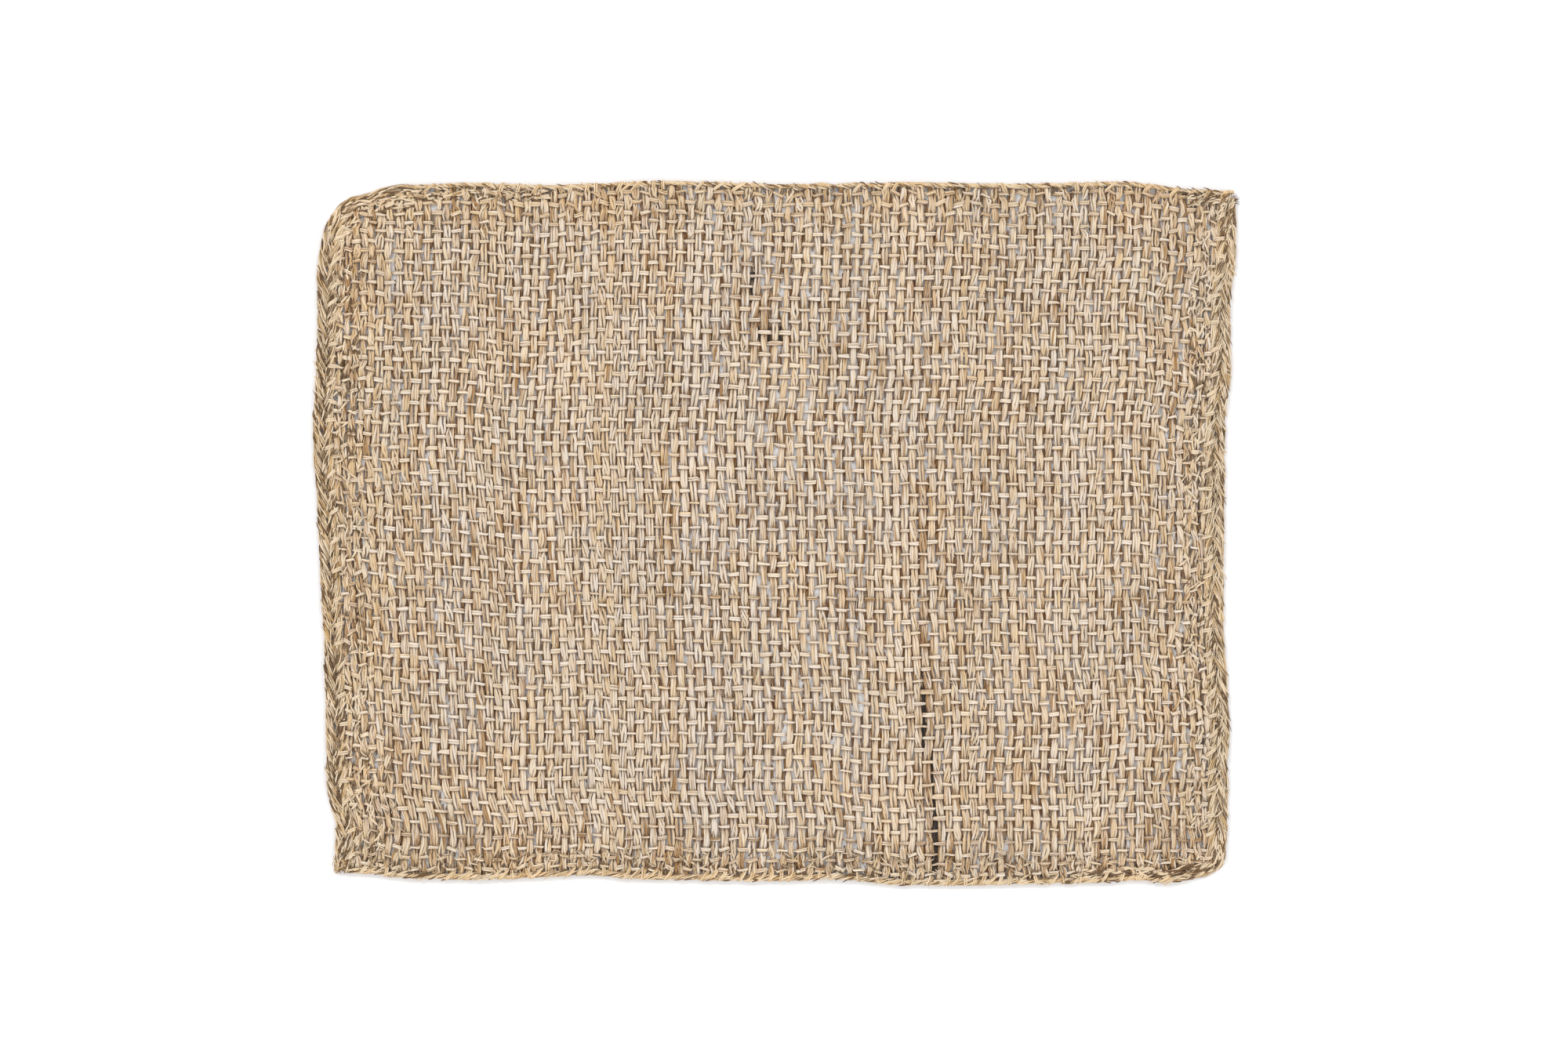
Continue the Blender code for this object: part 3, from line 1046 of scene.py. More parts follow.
@dataclass
class WovenCloth:
    """The woven body: warp bundles over and under two-ply picks."""

    plan: WeavePlan
    middle_height: float = 0.00130
    cloth_length: float = 0.347
    warp_half_width: float = 0.00186
    warp_strands: int = 4
    warp_strand_wide: float = 0.00068
    warp_strand_thick: float = 0.00027
    warp_strand_rise: float = 0.00026
    warp_rise: float = 0.00050
    warp_lay: float = 0.060
    warp_waver: float = 0.00030
    warp_end_height: float = 0.0009
    warp_flat: float = 0.28
    warp_margin: float = 0.002
    weft_strand_wide: float = 0.00058
    weft_strand_thick: float = 0.00044
    weft_strand_rise: float = 0.00020
    weft_strand_apart: float = 0.00045
    weft_rise: float = 0.00062
    weft_lay: float = 0.034
    weft_waver: float = 0.00024
    weft_flat: float = 0.42
    weft_margin: float = 0.003
    tuck: float = 0.74
    low_count: int = 8600
    low_height: float = 0.00055
    low_thick: float = 0.00020
    low_length: tuple[float, float] = (0.005, 0.011)
    low_half_width: tuple[float, float] = (0.00032, 0.00060)
    wild_side: float = 0.042
    wild_end: float = 0.024
    wild_tone: float = -0.12
    wild_brown: float = 0.07
    warm_reach: float = 0.15
    seed: int = 21
    end_tones: Array = field(init=False)

    def __post_init__(self) -> None:
        """Make neighbouring warp ends lighter or darker together."""
        rng = np.random.default_rng(self.seed + 500)
        self.end_tones = wander(rng, self.plan.ends, 20, 0.07)

    def over(self, end: Array | int, pick: Array | int) -> Array:
        """1 where the warp end passes over the pick, -1 where under."""
        return np.where((np.asarray(end) + np.asarray(pick)) % 2 == 0, 1.0, -1.0)

    def inside(self, points: Array, margin: float) -> slice:
        """Find the run of points that lies on the cloth, inside the round corners.

        Args:
            points: places along a yarn, one row each.
            margin: how far the yarn may reach under the plait.

        Returns:
            The run, empty if no point lies on the cloth.
        """
        shape = self.plan.outline
        outside = shape.beyond_corner(points, shape.plait_width - margin, shape.cord_width)
        kept = np.flatnonzero(~outside)
        return slice(kept[0], kept[-1] + 1) if len(kept) else slice(0, 0)

    def wildness(self, points: Array) -> Array:
        """Say how unruly the yarns are at some places.

        Args:
            points: the places, one row each.

        Returns:
            1 beside the edging and 0 well inside it.
        """
        shape = self.plan.outline
        across = shape.half_width - shape.plait_width - np.abs(points[:, 0])
        up = shape.half_depth - shape.cord_width - np.abs(points[:, 1])
        from_side = np.clip(1 - across / self.wild_side, 0, 1)
        from_end = np.clip(1 - up / self.wild_end, 0, 1)
        return np.maximum(from_side, from_end)

    def warmth(self, points: Array, wild: Array, most: float) -> Array:
        """How much more golden unruly yarns are, most of all at the left."""
        return wild * np.interp(points[:, 0], (-self.warm_reach, self.warm_reach), (most, 0.05))

    def warp_end(self, mesh: StrandMesh, end: int, rng: Rng) -> None:
        """Sweep the strands of one warp end.

        Args:
            mesh: what gathers the strands.
            end: the warp end's index.
            rng: where its unevenness comes from.
        """
        whole = np.arange(-1, self.plan.picks + 1)
        at = (whole[:, None] + np.array([-self.warp_flat, self.warp_flat])[None, :]).ravel()
        at = np.unique(np.clip(at, -self.tuck, self.plan.picks - 1 + self.tuck))
        count = len(at)
        flat = self.plan.crossing(np.full(count, float(end)), at)
        wild = self.wildness(flat)
        flat[:, 0] += wander(rng, count, 40, self.warp_waver) * (1 + 1.1 * wild)
        over = self.over(end, np.round(at).astype(int))
        height = self.middle_height + self.warp_rise * over + rng.normal(0, 0.00004, count)
        height[[0, -1]] = self.warp_end_height
        fullness = np.clip(rng.normal(1.0, 0.085), 0.80, 1.13)
        fullness = fullness * (1 + wander(rng, count, 22, 0.07)) * np.where(over > 0, 1.0, 0.97)
        fullness *= 1 - patch_strength(OPEN_PATCHES, flat)
        twist = rng.choice([-1.0, 1.0], p=[0.3, 0.7]) * 2 * math.pi
        turn = twist * flat[:, 1] / (self.warp_lay * rng.uniform(0.7, 1.6))
        turn += wander(rng, count, 24, 0.9) * (1 + 1.2 * wild) + rng.uniform(0, 2 * math.pi)
        base_tone = self.end_tones[end] + rng.normal(0.0, 0.06) + self.wild_tone * wild
        base_brown = max(0.0, rng.normal(-0.02, 0.08)) + patch_strength(BROWN_PATCHES, flat)
        warm = self.warmth(flat, wild, 0.55)
        patch = wander(rng, count, 62, 0.10)
        keep = self.inside(flat, self.warp_margin)
        for strand in range(self.warp_strands):
            angle = turn + strand * 2 * math.pi / self.warp_strands + rng.normal(0, 0.3)
            wide = self.warp_strand_wide * rng.uniform(0.78, 1.20) * (1 + wander(rng, count, 40, 0.12))
            reach = self.warp_half_width * fullness - wide
            x = flat[:, 0] + np.cos(angle) * reach + rng.normal(0, 0.00009, count) * (1 + 3.4 * wild)
            line = joined(x, flat[:, 1], height + np.sin(angle) * self.warp_strand_rise)
            tone = base_tone + patch + rng.normal(0, 0.14) + wander(rng, count, 50, 0.12)
            brown = base_brown + max(0.0, rng.normal(-0.04, 0.15)) + wander(rng, count, 45, 0.18)
            brown += self.wild_brown * wild
            gold = np.clip(rng.normal(0.30, 0.2) + wander(rng, count, 55, 0.36) + warm, 0, 1)
            thick = self.warp_strand_thick * rng.uniform(0.9, 1.15)
            mesh.add(line[keep], wide[keep], thick, tone[keep], brown[keep], gold[keep])

    def pick(self, mesh: StrandMesh, pick: int, rng: Rng) -> None:
        """Sweep the two plies of one pick.

        Args:
            mesh: what gathers the strands.
            pick: the pick's index.
            rng: where its unevenness comes from.
        """
        whole = np.arange(-1, self.plan.ends + 1)
        at = (whole[:, None] + np.array([-self.weft_flat, self.weft_flat])[None, :]).ravel()
        count = len(at)
        flat = self.plan.crossing(at, np.full(count, float(pick)))
        tilt = np.repeat(rng.normal(0, 0.00009, len(whole)), 2) * np.tile([-1.0, 1.0], len(whole))
        wild = self.wildness(flat)
        flat[:, 1] += wander(rng, count, 60, self.weft_waver) * (1 + wild) + tilt * (1 + 5 * wild)
        over = -self.over(np.round(at).astype(int), pick)
        height = self.middle_height + self.weft_rise * over * np.where(over > 0, 0.92, 0.9)
        height += rng.normal(0, 0.00003, count)
        fullness = np.clip(rng.normal(1.0, 0.15), 0.62, 1.25) * (1 + wander(rng, count, 30, 0.08))
        fullness = fullness * np.where(over > 0, 1.0, 0.94)
        turn = 2 * math.pi * flat[:, 0] / (self.weft_lay * rng.uniform(0.7, 2.2))
        turn += wander(rng, count, 25, 0.8) + rng.uniform(0, math.pi)
        base_tone = rng.normal(0.11, 0.12) + self.wild_tone * wild
        base_brown = max(0.0, rng.normal(-0.08, 0.12)) + patch_strength(BROWN_PATCHES, flat)
        warm = self.warmth(flat, wild, 0.45)
        patch = wander(rng, count, 98, 0.10)
        thick = self.weft_strand_thick * fullness
        keep = self.inside(flat, self.weft_margin)
        for strand in range(2):
            angle = turn + strand * math.pi
            wide = self.weft_strand_wide * fullness * rng.uniform(0.82, 1.15)
            wide = wide * (1 + wander(rng, count, 60, 0.10))
            y = flat[:, 1] + np.cos(angle) * self.weft_strand_apart * fullness
            line = joined(flat[:, 0], y, height + np.sin(angle) * self.weft_strand_rise)
            tone = base_tone + patch + rng.normal(0, 0.08) + wander(rng, count, 60, 0.10)
            brown = base_brown + wander(rng, count, 50, 0.11) + self.wild_brown * wild
            gold = np.clip(rng.normal(0.22, 0.2) + wander(rng, count, 90, 0.30) + warm, 0, 1)
            mesh.add(line[keep], wide[keep], thick[keep], tone[keep], brown[keep], gold[keep])

    def low_fibres(self, name: str, finish: Material) -> Thing:
        """Build the short brown fibres that lie low in the gaps between warp ends, partly brown fibre and
        partly painted shade that makes the gaps read brown.

        Args:
            name: the piece's name.
            finish: its material.

        Returns:
            The piece.
        """
        rng = np.random.default_rng(self.seed + 900)
        mesh = StrandMesh(name)
        t = np.linspace(-0.5, 0.5, 3)
        ends = rng.integers(0, self.plan.ends - 1, self.low_count) + 0.5
        picks = rng.uniform(0, self.plan.picks - 1, self.low_count)
        middles = self.plan.crossing(ends + rng.normal(0, 0.09, self.low_count), picks)
        shape = self.plan.outline
        outside = shape.beyond_corner(middles, shape.plait_width, shape.cord_width)
        for middle in middles[~outside]:
            angle, length = math.pi / 2 + rng.normal(0, 0.06), rng.uniform(*self.low_length)
            x = middle[0] + math.cos(angle) * length * t + rng.normal(0, 0.00012, 3)
            y = middle[1] + math.sin(angle) * length * t
            z = np.clip(rng.normal(self.low_height, 0.00012, 3), 0.00028, 0.0009)
            wide = rng.uniform(*self.low_half_width) * np.array([0.6, 1.0, 0.6])
            # Painted shade in part: these fibres are made dark brown so the gaps between warp ends read as
            # brown shade
            brown = rng.uniform(0.0, 0.5) + 0.6 * (rng.random() < 0.45)
            tone = rng.normal(-0.1, 0.2)
            mesh.add(joined(x, y, z), wide, self.low_thick, tone, brown, 0.9, THIN_SECTION)
        return mesh.build(finish)

    def panel(
        self, name: str, yarns: range, sweep: Callable[[StrandMesh, int, Rng], None],
        first_seed: int, finish: Material,
    ) -> Thing:
        """Build a run of yarns as one piece.

        Args:
            name: the piece's name.
            yarns: the yarns' indices.
            sweep: what sweeps one of them.
            first_seed: yarn 0's own part of the seed.
            finish: their material.

        Returns:
            The piece.
        """
        mesh = StrandMesh(name)
        for yarn in yarns:
            sweep(mesh, yarn, np.random.default_rng((self.seed, first_seed + yarn)))
        return mesh.build(finish)

    def panel_width(self, yarns: range) -> float:
        """Measure a run of warp ends at the middle of the mat.

        Args:
            yarns: the warp ends' indices.

        Returns:
            How wide the run is.
        """
        beside = np.array([yarns.start - 0.5, yarns.stop - 0.5])
        left, right = self.plan.crossing(beside, np.full(2, self.plan.picks / 2))[:, 0]
        return float(right - left)

    def build(self, warp: Material, weft: Material) -> list[Thing]:
        """Build the whole cloth.

        Args:
            warp: the warp's finish.
            weft: the picks' finish.

        Returns:
            The pieces, warp panels first.
        """
        ends, picks = self.plan.ends, self.plan.picks
        third, half = math.ceil(ends / 3), math.ceil(picks / 2)
        warp_runs = {
            "warp_left": range(0, third),
            "warp_middle": range(third, 2 * third),
            "warp_right": range(2 * third, ends),
        }
        weft_runs = {"weft_lower": range(0, half), "weft_upper": range(half, picks)}
        panels = [self.panel(name, run, self.warp_end, 0, warp) for name, run in warp_runs.items()]
        crossed = [self.panel(name, run, self.pick, 1000, weft) for name, run in weft_runs.items()]
        things = [*panels, *crossed, self.low_fibres("low_fibres", warp)]
        for thing in things:
            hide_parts("woven_cloth")
        for thing, run in zip(panels, warp_runs.values()):
            flat = (self.panel_width(run), self.cloth_length)
        return things


class StrandPiece:
    """A piece of its own that is swept strand by strand."""

    seed: int

    def sweep(self, mesh: StrandMesh, rng: Rng) -> None:
        """Sweep the piece's strands, which each kind of piece does in its own way."""
        raise NotImplementedError

    def build(self, name: str, node: str, slot: str, finish: Material) -> Thing:
        """Build the piece in place of its solid.

        Args:
            name: the piece's name.
            node: the solid it stands for.
            slot: not used.
            finish: its material.

        Returns:
            The piece.
        """
        mesh = StrandMesh(name)
        self.sweep(mesh, np.random.default_rng(self.seed))
        thing = mesh.build(finish)
        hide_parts(node)
        return thing


@dataclass
class EdgePlait(StrandPiece):
    """A flat plait of seven bundles along one side, narrowing round the corner."""

    outline: MatOutline
    half: Half
    bundles: int = 7
    period: float = 0.0518
    fibres: int = 3
    fibre_wide: float = 0.00058
    fibre_thick: float = 0.00044
    fibre_apart: float = 0.00092
    middle_height: float = 0.00160
    weave_height: float = 0.00066
    step: float = 0.0020
    outermost: float = 0.12
    crossed: float = 0.76
    start_taper: float = 0.007
    stop_taper: float = 0.016
    taper_lead: float = 0.002
    first_stitch: float = 0.009
    last_stitch: float = 0.022
    stitch_step: float = 0.0113
    stitch_apart: float = 0.00095
    stitch_wide: float = 0.00056
    stitch_thick: float = 0.00034
    seed: int = 5

    def sweep(self, mesh: StrandMesh, rng: Rng) -> None:
        """Sweep the bundles, then the stitches over them.

        Args:
            mesh: what gathers the strands.
            rng: where their unevenness comes from.
        """
        outer, inner = self.outline.edge_run(self.half, self.step)
        for bundle in range(self.bundles):
            self.bundle(mesh, bundle, outer, inner, rng)
        self.stitches(mesh, outer, inner, rng)

    def bundle(
        self, mesh: StrandMesh, number: int, outer: Array, inner: Array, rng: Rng
    ) -> None:
        """Sweep the fibres of one bundle from the hard corner to the end cord.

        Args:
            mesh: what gathers the fibres.
            number: which bundle.
            outer: the plait's outer line.
            inner: its inner line.
            rng: where its unevenness comes from.
        """
        count = len(outer)
        along = run_lengths(outer)
        scale = np.clip(np.linalg.norm(inner - outer, axis=1) / self.outline.plait_width, 0.40, 1.0)
        from_start, to_stop = along + self.taper_lead, along[-1] - along + self.taper_lead
        taper = np.clip(np.minimum(from_start / self.start_taper, to_stop / self.stop_taper), 0.15, 1.0)
        turn = 2 * math.pi * (along / self.period + number / self.bundles) + wander(rng, count, 40, 0.11)
        across = self.outermost + self.crossed * (0.5 - 0.5 * np.cos(turn))
        across = across + 0.30 * across * (1 - across) + wander(rng, count, 60, 0.014)
        height = (self.middle_height - self.weave_height * np.sin(2 * turn)) * (0.75 + 0.25 * scale)
        height *= 0.72 + 0.28 * taper
        line = raised(outer + (inner - outer) * across[:, None], height)
        ahead = np.gradient(line, axis=0)
        level = unit(np.stack([-ahead[:, 1], ahead[:, 0]], axis=1))
        leaf = 0.60 + 0.40 * np.abs(np.sin(2 * turn)) ** 0.8
        tone_base = wander(rng, count, 90, 0.14)
        gold_base = wander(rng, count, 30, 0.2)
        for fibre in range(self.fibres):
            from_middle = fibre - (self.fibres - 1) / 2
            strand = line.copy()
            spread = self.fibre_apart * leaf * scale * rng.uniform(0.85, 1.15)
            strand[:, :2] += level * (from_middle * spread + wander(rng, count, 60, 0.00010))[:, None]
            strand[:, 2] += -0.00015 * abs(from_middle) + wander(rng, count, 50, 0.00012)
            wide = self.fibre_wide * leaf * (0.55 + 0.45 * scale) * rng.uniform(0.80, 1.20) * taper
            thick = np.full(count, self.fibre_thick) * (0.7 + 0.3 * scale) * taper
            strand[:, 2] = np.maximum(strand[:, 2], thick * 0.5 + 0.0001)
            tone = tone_base + rng.normal(-0.04, 0.16) + wander(rng, count, 70, 0.16)
            brown = np.maximum(0, rng.normal(0.06, 0.16)) + wander(rng, count, 50, 0.26)
            gold = np.clip(0.34 + gold_base + wander(rng, count, 50, 0.25), 0, 1)
            mesh.add(strand, wide, thick, tone, brown, gold)

    def stitches(self, mesh: StrandMesh, outer: Array, inner: Array, rng: Rng) -> None:
        """Sweep the short pale ends of picks that are caught over the plait's inner column.

        Args:
            mesh: what gathers the strands.
            outer: the plait's outer line.
            inner: its inner line.
            rng: where their unevenness comes from.
        """
        along = run_lengths(outer)
        rows = np.arange(len(along))
        across = np.array([0.60, 0.70, 0.84, 0.98, 1.12])
        height = np.array([1.7, 2.65, 2.85, 2.55, 1.2]) * MM
        place = self.first_stitch
        while place < along[-1] - self.last_stitch:
            slant = rng.normal(0.0012, 0.0007) * np.linspace(-1, 1, 5)
            reach = rng.uniform(-0.05, 0.07)
            for ply in (-0.5, 0.5):
                row = np.interp(place + slant + ply * self.stitch_apart, along, rows)
                start, stop = (
                    np.stack([np.interp(row, rows, edge[:, axis]) for axis in (0, 1)], axis=1)
                    for edge in (outer, inner)
                )
                line = raised(start + (stop - start) * (across + reach)[:, None], height)
                tone = rng.normal(0.25, 0.1)
                mesh.add(line, self.stitch_wide, self.stitch_thick, tone, 0.0, rng.uniform(0.1, 0.5))
            place += self.stitch_step * rng.uniform(0.72, 1.35)


@dataclass
class EndCord(StrandPiece):
    """A twisted cord along one end, with warp ends looped over it here and there."""

    plan: WeavePlan
    half: Half
    lean: Lean
    far: float
    plies: int = 3
    pitch: float = 0.0105
    helix: float = 0.00072
    inset: float = 0.0016
    height: float = 0.00152
    step: float = 0.0011
    ply_wide: float = 0.00070
    ply_thick: float = 0.00056
    loop_share: float = 0.55
    loop_slant: float = 1.3
    loop_wide: float = 0.00052
    loop_thick: float = 0.00034
    loop_apart: float = 0.00105
    lead: float = 0.006
    fade: float = 0.010
    seed: int = 3

    def sweep(self, mesh: StrandMesh, rng: Rng) -> None:
        """Sweep the cord, then the loops over it."""
        self.core(mesh, rng)
        self.loops(mesh, rng)

    def core(self, mesh: StrandMesh, rng: Rng) -> None:
        """Sweep the cord's twisted plies from the round corner to the hard one.

        Args:
            mesh: what gathers the strands.
            rng: where their unevenness comes from.
        """
        x = np.arange(self.half.corner_far - self.lead, self.far, self.step)
        count = len(x)
        middle = self.plan.outline.end(self.half, x, self.inset + wander(rng, count, 70, 0.00018))
        turn = 2 * math.pi * x / self.pitch + wander(rng, count, 60, 0.5)
        swell = (1 + wander(rng, count, 60, 0.12)) * np.clip((x - x[0] + 0.002) / self.fade, 0.15, 1.0)
        for ply in range(self.plies):
            for fibre in (-0.4, 0.4):
                angle = turn + ply * 2 * math.pi / self.plies + fibre
                reach = self.helix * swell * rng.uniform(0.92, 1.08)
                sideways = -self.lean.value * self.half.turn * np.cos(angle) * reach
                level = self.height + np.sin(angle) * self.helix * 1.15
                line = joined(middle[:, 0], middle[:, 1] + sideways, level)
                tone = rng.normal(-0.02, 0.10) + wander(rng, count, 150, 0.22)
                brown = np.maximum(0, rng.normal(0.05, 0.08) + wander(rng, count, 110, 0.32))
                gold = np.clip(0.55 + wander(rng, count, 60, 0.25), 0, 1)
                mesh.add(line, self.ply_wide * swell * 0.72, self.ply_thick * swell, tone, brown, gold)

    def loops(self, mesh: StrandMesh, rng: Rng) -> None:
        """Sweep the warp ends that are turned over the cord and tucked in under it.

        Args:
            mesh: what gathers the strands.
            rng: where their unevenness comes from.
        """
        shape = self.plan.outline
        inset = np.array([5.6, 4.4, 3.2, 2.0, 1.0, 0.4, 0.3, 0.8]) * MM
        height = np.array([1.4, 2.2, 2.85, 3.05, 2.7, 1.9, 1.0, 0.6]) * MM
        slant = np.array([-1.0, -0.75, -0.3, 0.3, 0.8, 1.05, 1.1, 1.0]) * MM * self.loop_slant
        edge_pick = float(self.plan.picks) if self.half.turn > 0 else -1.0
        every = np.arange(self.plan.ends, dtype=float)
        foot = self.plan.crossing(every, np.full(self.plan.ends, edge_pick))
        for x in (foot[:, 0] + shape.middle[0]) * self.half.turn:
            if x < self.half.corner_far + 0.003 or rng.random() > self.loop_share:
                continue
            size = rng.uniform(0.8, 1.1)
            lean = rng.normal(0.9, 0.9)
            for fibre in (-0.5, 0.5):
                place = x + slant * lean + fibre * self.loop_apart * size
                flat = shape.end(self.half, place, inset * rng.uniform(0.92, 1.05))
                line = raised(flat, height * rng.uniform(0.94, 1.03))
                tone = rng.normal(0.05, 0.14)
                brown = max(0.0, rng.normal(0.02, 0.12))
                wide, thick = self.loop_wide * size, self.loop_thick * size
                mesh.add(line, wide, thick, tone, brown, rng.uniform(0.1, 0.9))


@dataclass
class EdgeFibres(StrandPiece):
    """Short strokes of brown and pale fibre in the edging and in the rows beside it; the darkest strokes are
    partly dark fibre and partly painted shade for the gaps in the plait.
    """

    outline: MatOutline
    half: Half
    bands: tuple[Band, ...]
    corner_depth: float = 0.010
    thick: float = 0.00024
    droop: float = 0.00050
    seed: int = 41

    def sweep(self, mesh: StrandMesh, rng: Rng) -> None:
        """Sweep every band of the half."""
        for band in self.bands:
            self.band(mesh, band, rng)

    def place(self, band: Band, along: Array, inset: Array) -> Array:
        """Find places on the mat beside the edge.

        Args:
            band: whose run to follow.
            along: mm along the run, or per cent of the corner.
            inset: metres in from the outline.

        Returns:
            The places, one row each.
        """
        if band.run is Run.SIDE:
            return self.outline.side(self.half, along * MM, inset)
        if band.run is Run.END:
            return self.outline.end(self.half, along * MM, inset)
        outer, inner = (
            self.outline.corner(self.half, along / 100, depth, depth) for depth in (0.0, self.corner_depth)
        )
        return outer + (inner - outer) * (inset / self.corner_depth)[:, None]

    def band(self, mesh: StrandMesh, band: Band, rng: Rng) -> None:
        """Sweep the strokes of one band.

        Args:
            mesh: what gathers the strokes.
            band: which band.
            rng: where its unevenness comes from.
        """
        along = rng.uniform(band.start, band.stop, band.count)
        inset = rng.uniform(band.near, band.far, band.count) * MM
        middle = self.place(band, along, inset)
        ahead = unit(self.place(band, along + 0.5, inset) - middle)
        inwards = unit(self.place(band, along, inset + 0.0005) - middle)
        angle = np.radians(rng.normal(band.lean, band.spread, band.count))
        length = band.length * MM * rng.uniform(0.55, 1.45, band.count)
        bend = rng.normal(0, 0.0003, band.count)
        t = np.linspace(-0.5, 0.5, 5)
        arch = 1 - 4 * t ** 2
        for spot in range(band.count):
            heading = ahead[spot] * math.cos(angle[spot]) + inwards[spot] * math.sin(angle[spot])
            sideways = np.array([-heading[1], heading[0]])
            flat = middle[spot] + heading * (length[spot] * t)[:, None]
            flat = flat + sideways * (bend[spot] * arch)[:, None]
            height = band.height * MM + rng.normal(0, 0.00010) + self.droop * (arch - 1)
            wide = band.half_width * MM * rng.uniform(0.7, 1.3) * (0.45 + 0.55 * np.sqrt(arch))
            brown = np.clip(band.brown + rng.normal(0, 0.12), 0, 1)
            tone = band.tone + rng.normal(0, 0.12)
            mesh.add(raised(flat, height), wide, self.thick, tone, brown, rng.uniform(0, 0.7))


@dataclass
class CornerEnds(StrandPiece):
    """The knots and frayed fibres where the two hard corners are tied off."""

    knots: tuple[Knot, ...] = (Knot(0.2266, 0.1694, 0.0034, 0.9), Knot(-0.2172, -0.1662, 0.0044, -0.4))
    tuft_foot: tuple[float, float] = (0.2290, 0.1668)
    knot_fibres: int = 9
    knot_height: float = 0.0029
    knot_wide: float = 0.00048
    knot_thick: float = 0.00034
    tuft_fibres: int = 14
    tuft_height: float = 0.0018
    tuft_wide: float = 0.00030
    seed: int = 31

    def sweep(self, mesh: StrandMesh, rng: Rng) -> None:
        """Sweep both knots, then the tuft.

        Args:
            mesh: what gathers the fibres.
            rng: where their unevenness comes from.
        """
        for knot in self.knots:
            self.knot(mesh, knot, rng)
        self.tuft(mesh, rng)

    def knot(self, mesh: StrandMesh, knot: Knot, rng: Rng) -> None:
        """Sweep one knot, a curled bunch of fibres.

        Args:
            mesh: what gathers the fibres.
            knot: its place and size.
            rng: where its unevenness comes from.
        """
        t = np.linspace(0.0, 1.0, 26)
        for fibre in range(self.knot_fibres):
            angle = knot.tilt + t * math.pi * rng.uniform(0.9, 1.7) + rng.normal(0, 0.5)
            reach = knot.radius * (0.30 + 0.55 * t) * rng.uniform(0.75, 1.2)
            x = knot.x + np.cos(angle) * reach + rng.normal(0, 0.0004)
            y = knot.y + np.sin(angle) * reach * 0.75 + rng.normal(0, 0.0004)
            z = self.knot_height + 0.0003 * np.sin(t * 7 + fibre) - 0.0009 * t
            wide = self.knot_wide * (1 - 0.6 * t)
            tone, brown = rng.normal(-0.1, 0.2), rng.uniform(0.0, 0.7)
            mesh.add(joined(x, y, z), wide, self.knot_thick, tone, brown, 1.0)

    def tuft(self, mesh: StrandMesh, rng: Rng) -> None:
        """Sweep a small dark tuft of frayed ends that points to the right.

        Args:
            mesh: what gathers the fibres.
            rng: where its unevenness comes from.
        """
        t = np.linspace(0.0, 1.0, 7)
        for _ in range(self.tuft_fibres):
            angle = rng.normal(0, 0.45)
            length = rng.uniform(0.0025, 0.0048)
            bend = rng.normal(0, 0.0006)
            x = self.tuft_foot[0] + np.cos(angle) * length * t - np.sin(angle) * bend * t ** 2
            y = self.tuft_foot[1] + np.sin(angle) * length * t + np.cos(angle) * bend * t ** 2
            y += rng.normal(0, 0.0005)
            z = np.maximum(self.tuft_height - 0.0009 * t + rng.normal(0, 0.0003), 0.0003)
            wide = self.tuft_wide * (1 - 0.6 * t)
            mesh.add(joined(x, y, z), wide, wide, -0.3, 1.0, 0.3, THIN_SECTION)


@dataclass
class LooseFibres(StrandPiece):
    """Fine fibres, pale and brown, that are caught between the strands all over the cloth; the brown ones
    are partly fibre and partly painted shade for the dark lines between strands.
    """

    plan: WeavePlan
    count: int = 1700
    brown_share: float = 0.72
    slanted_share: float = 0.3
    height: float = 0.0018
    thick: float = 0.00015
    length: tuple[float, float] = (0.0035, 0.0085)
    half_width: tuple[float, float] = (0.00012, 0.00024)
    seed: int = 77

    def sweep(self, mesh: StrandMesh, rng: Rng) -> None:
        """Sweep the fine fibres.

        Args:
            mesh: what gathers the fibres.
            rng: where their places and unevenness come from.
        """
        t = np.linspace(-0.5, 0.5, 4)
        bow = 4 * t ** 2
        ends = rng.uniform(1, self.plan.ends - 2, self.count)
        picks = rng.uniform(1, self.plan.picks - 2, self.count)
        for middle in self.plan.crossing(ends, picks):
            angle = rng.normal(math.pi / 2, 0.65 if rng.random() < self.slanted_share else 0.14)
            length, bend = rng.uniform(*self.length), rng.normal(0, 0.0003)
            x = middle[0] + np.cos(angle) * length * t - np.sin(angle) * bend * bow
            y = middle[1] + np.sin(angle) * length * t + np.cos(angle) * bend * bow
            z = self.height + 0.0003 * (1 - bow) * rng.uniform(0.2, 1.1)
            # Painted shade in part: brown fibres also stand in for the dark lines of shade between strands
            is_brown = rng.random() < self.brown_share
            wide = rng.uniform(*self.half_width) * np.array([0.5, 1.1, 1.1, 0.5])
            tone, brown = (-0.1, rng.uniform(0.6, 1.0)) if is_brown else (rng.normal(0.2, 0.2), 0.0)
            mesh.add(joined(x, y, z), wide, self.thick, tone, brown, rng.random(), THIN_SECTION)


@dataclass
class SlitFibres(StrandPiece):
    """Near-black strands swept low along each slit, so the slits read dark."""

    plan: WeavePlan
    fibres: int = 8
    apart: float = 0.00042
    half_width: float = 0.00044
    thick: float = 0.00024
    height: float = 0.00060
    lowest: float = 0.00035
    step: float = 0.0009
    seed: int = 78

    def sweep(self, mesh: StrandMesh, rng: Rng) -> None:
        """Sweep the fibres of every slit.

        Args:
            mesh: what gathers the fibres.
            rng: where their unevenness comes from.
        """
        for slit in self.plan.slits:
            length = slit.half_length * MM
            y = np.arange(-length, length, self.step)
            count = len(y)
            open_by = np.sqrt(np.clip(1 - (y / length) ** 2, 0, 1))
            wide = self.half_width * (0.35 + 0.65 * open_by)
            for fibre in range(self.fibres):
                side = (fibre - (self.fibres - 1) / 2) * self.apart
                x = slit.x * MM + side + wander(rng, count, max(3, count // 3), 0.00020)
                z = self.height + wander(rng, count, max(3, count // 3), 0.00015)
                line = joined(x, slit.y * MM + y, np.maximum(z, self.lowest))
                tone, brown = rng.normal(-0.1, 0.1), rng.uniform(0.6, 1.0)
                mesh.add(line, wide, self.thick, tone, brown, 0.2, THIN_SECTION)


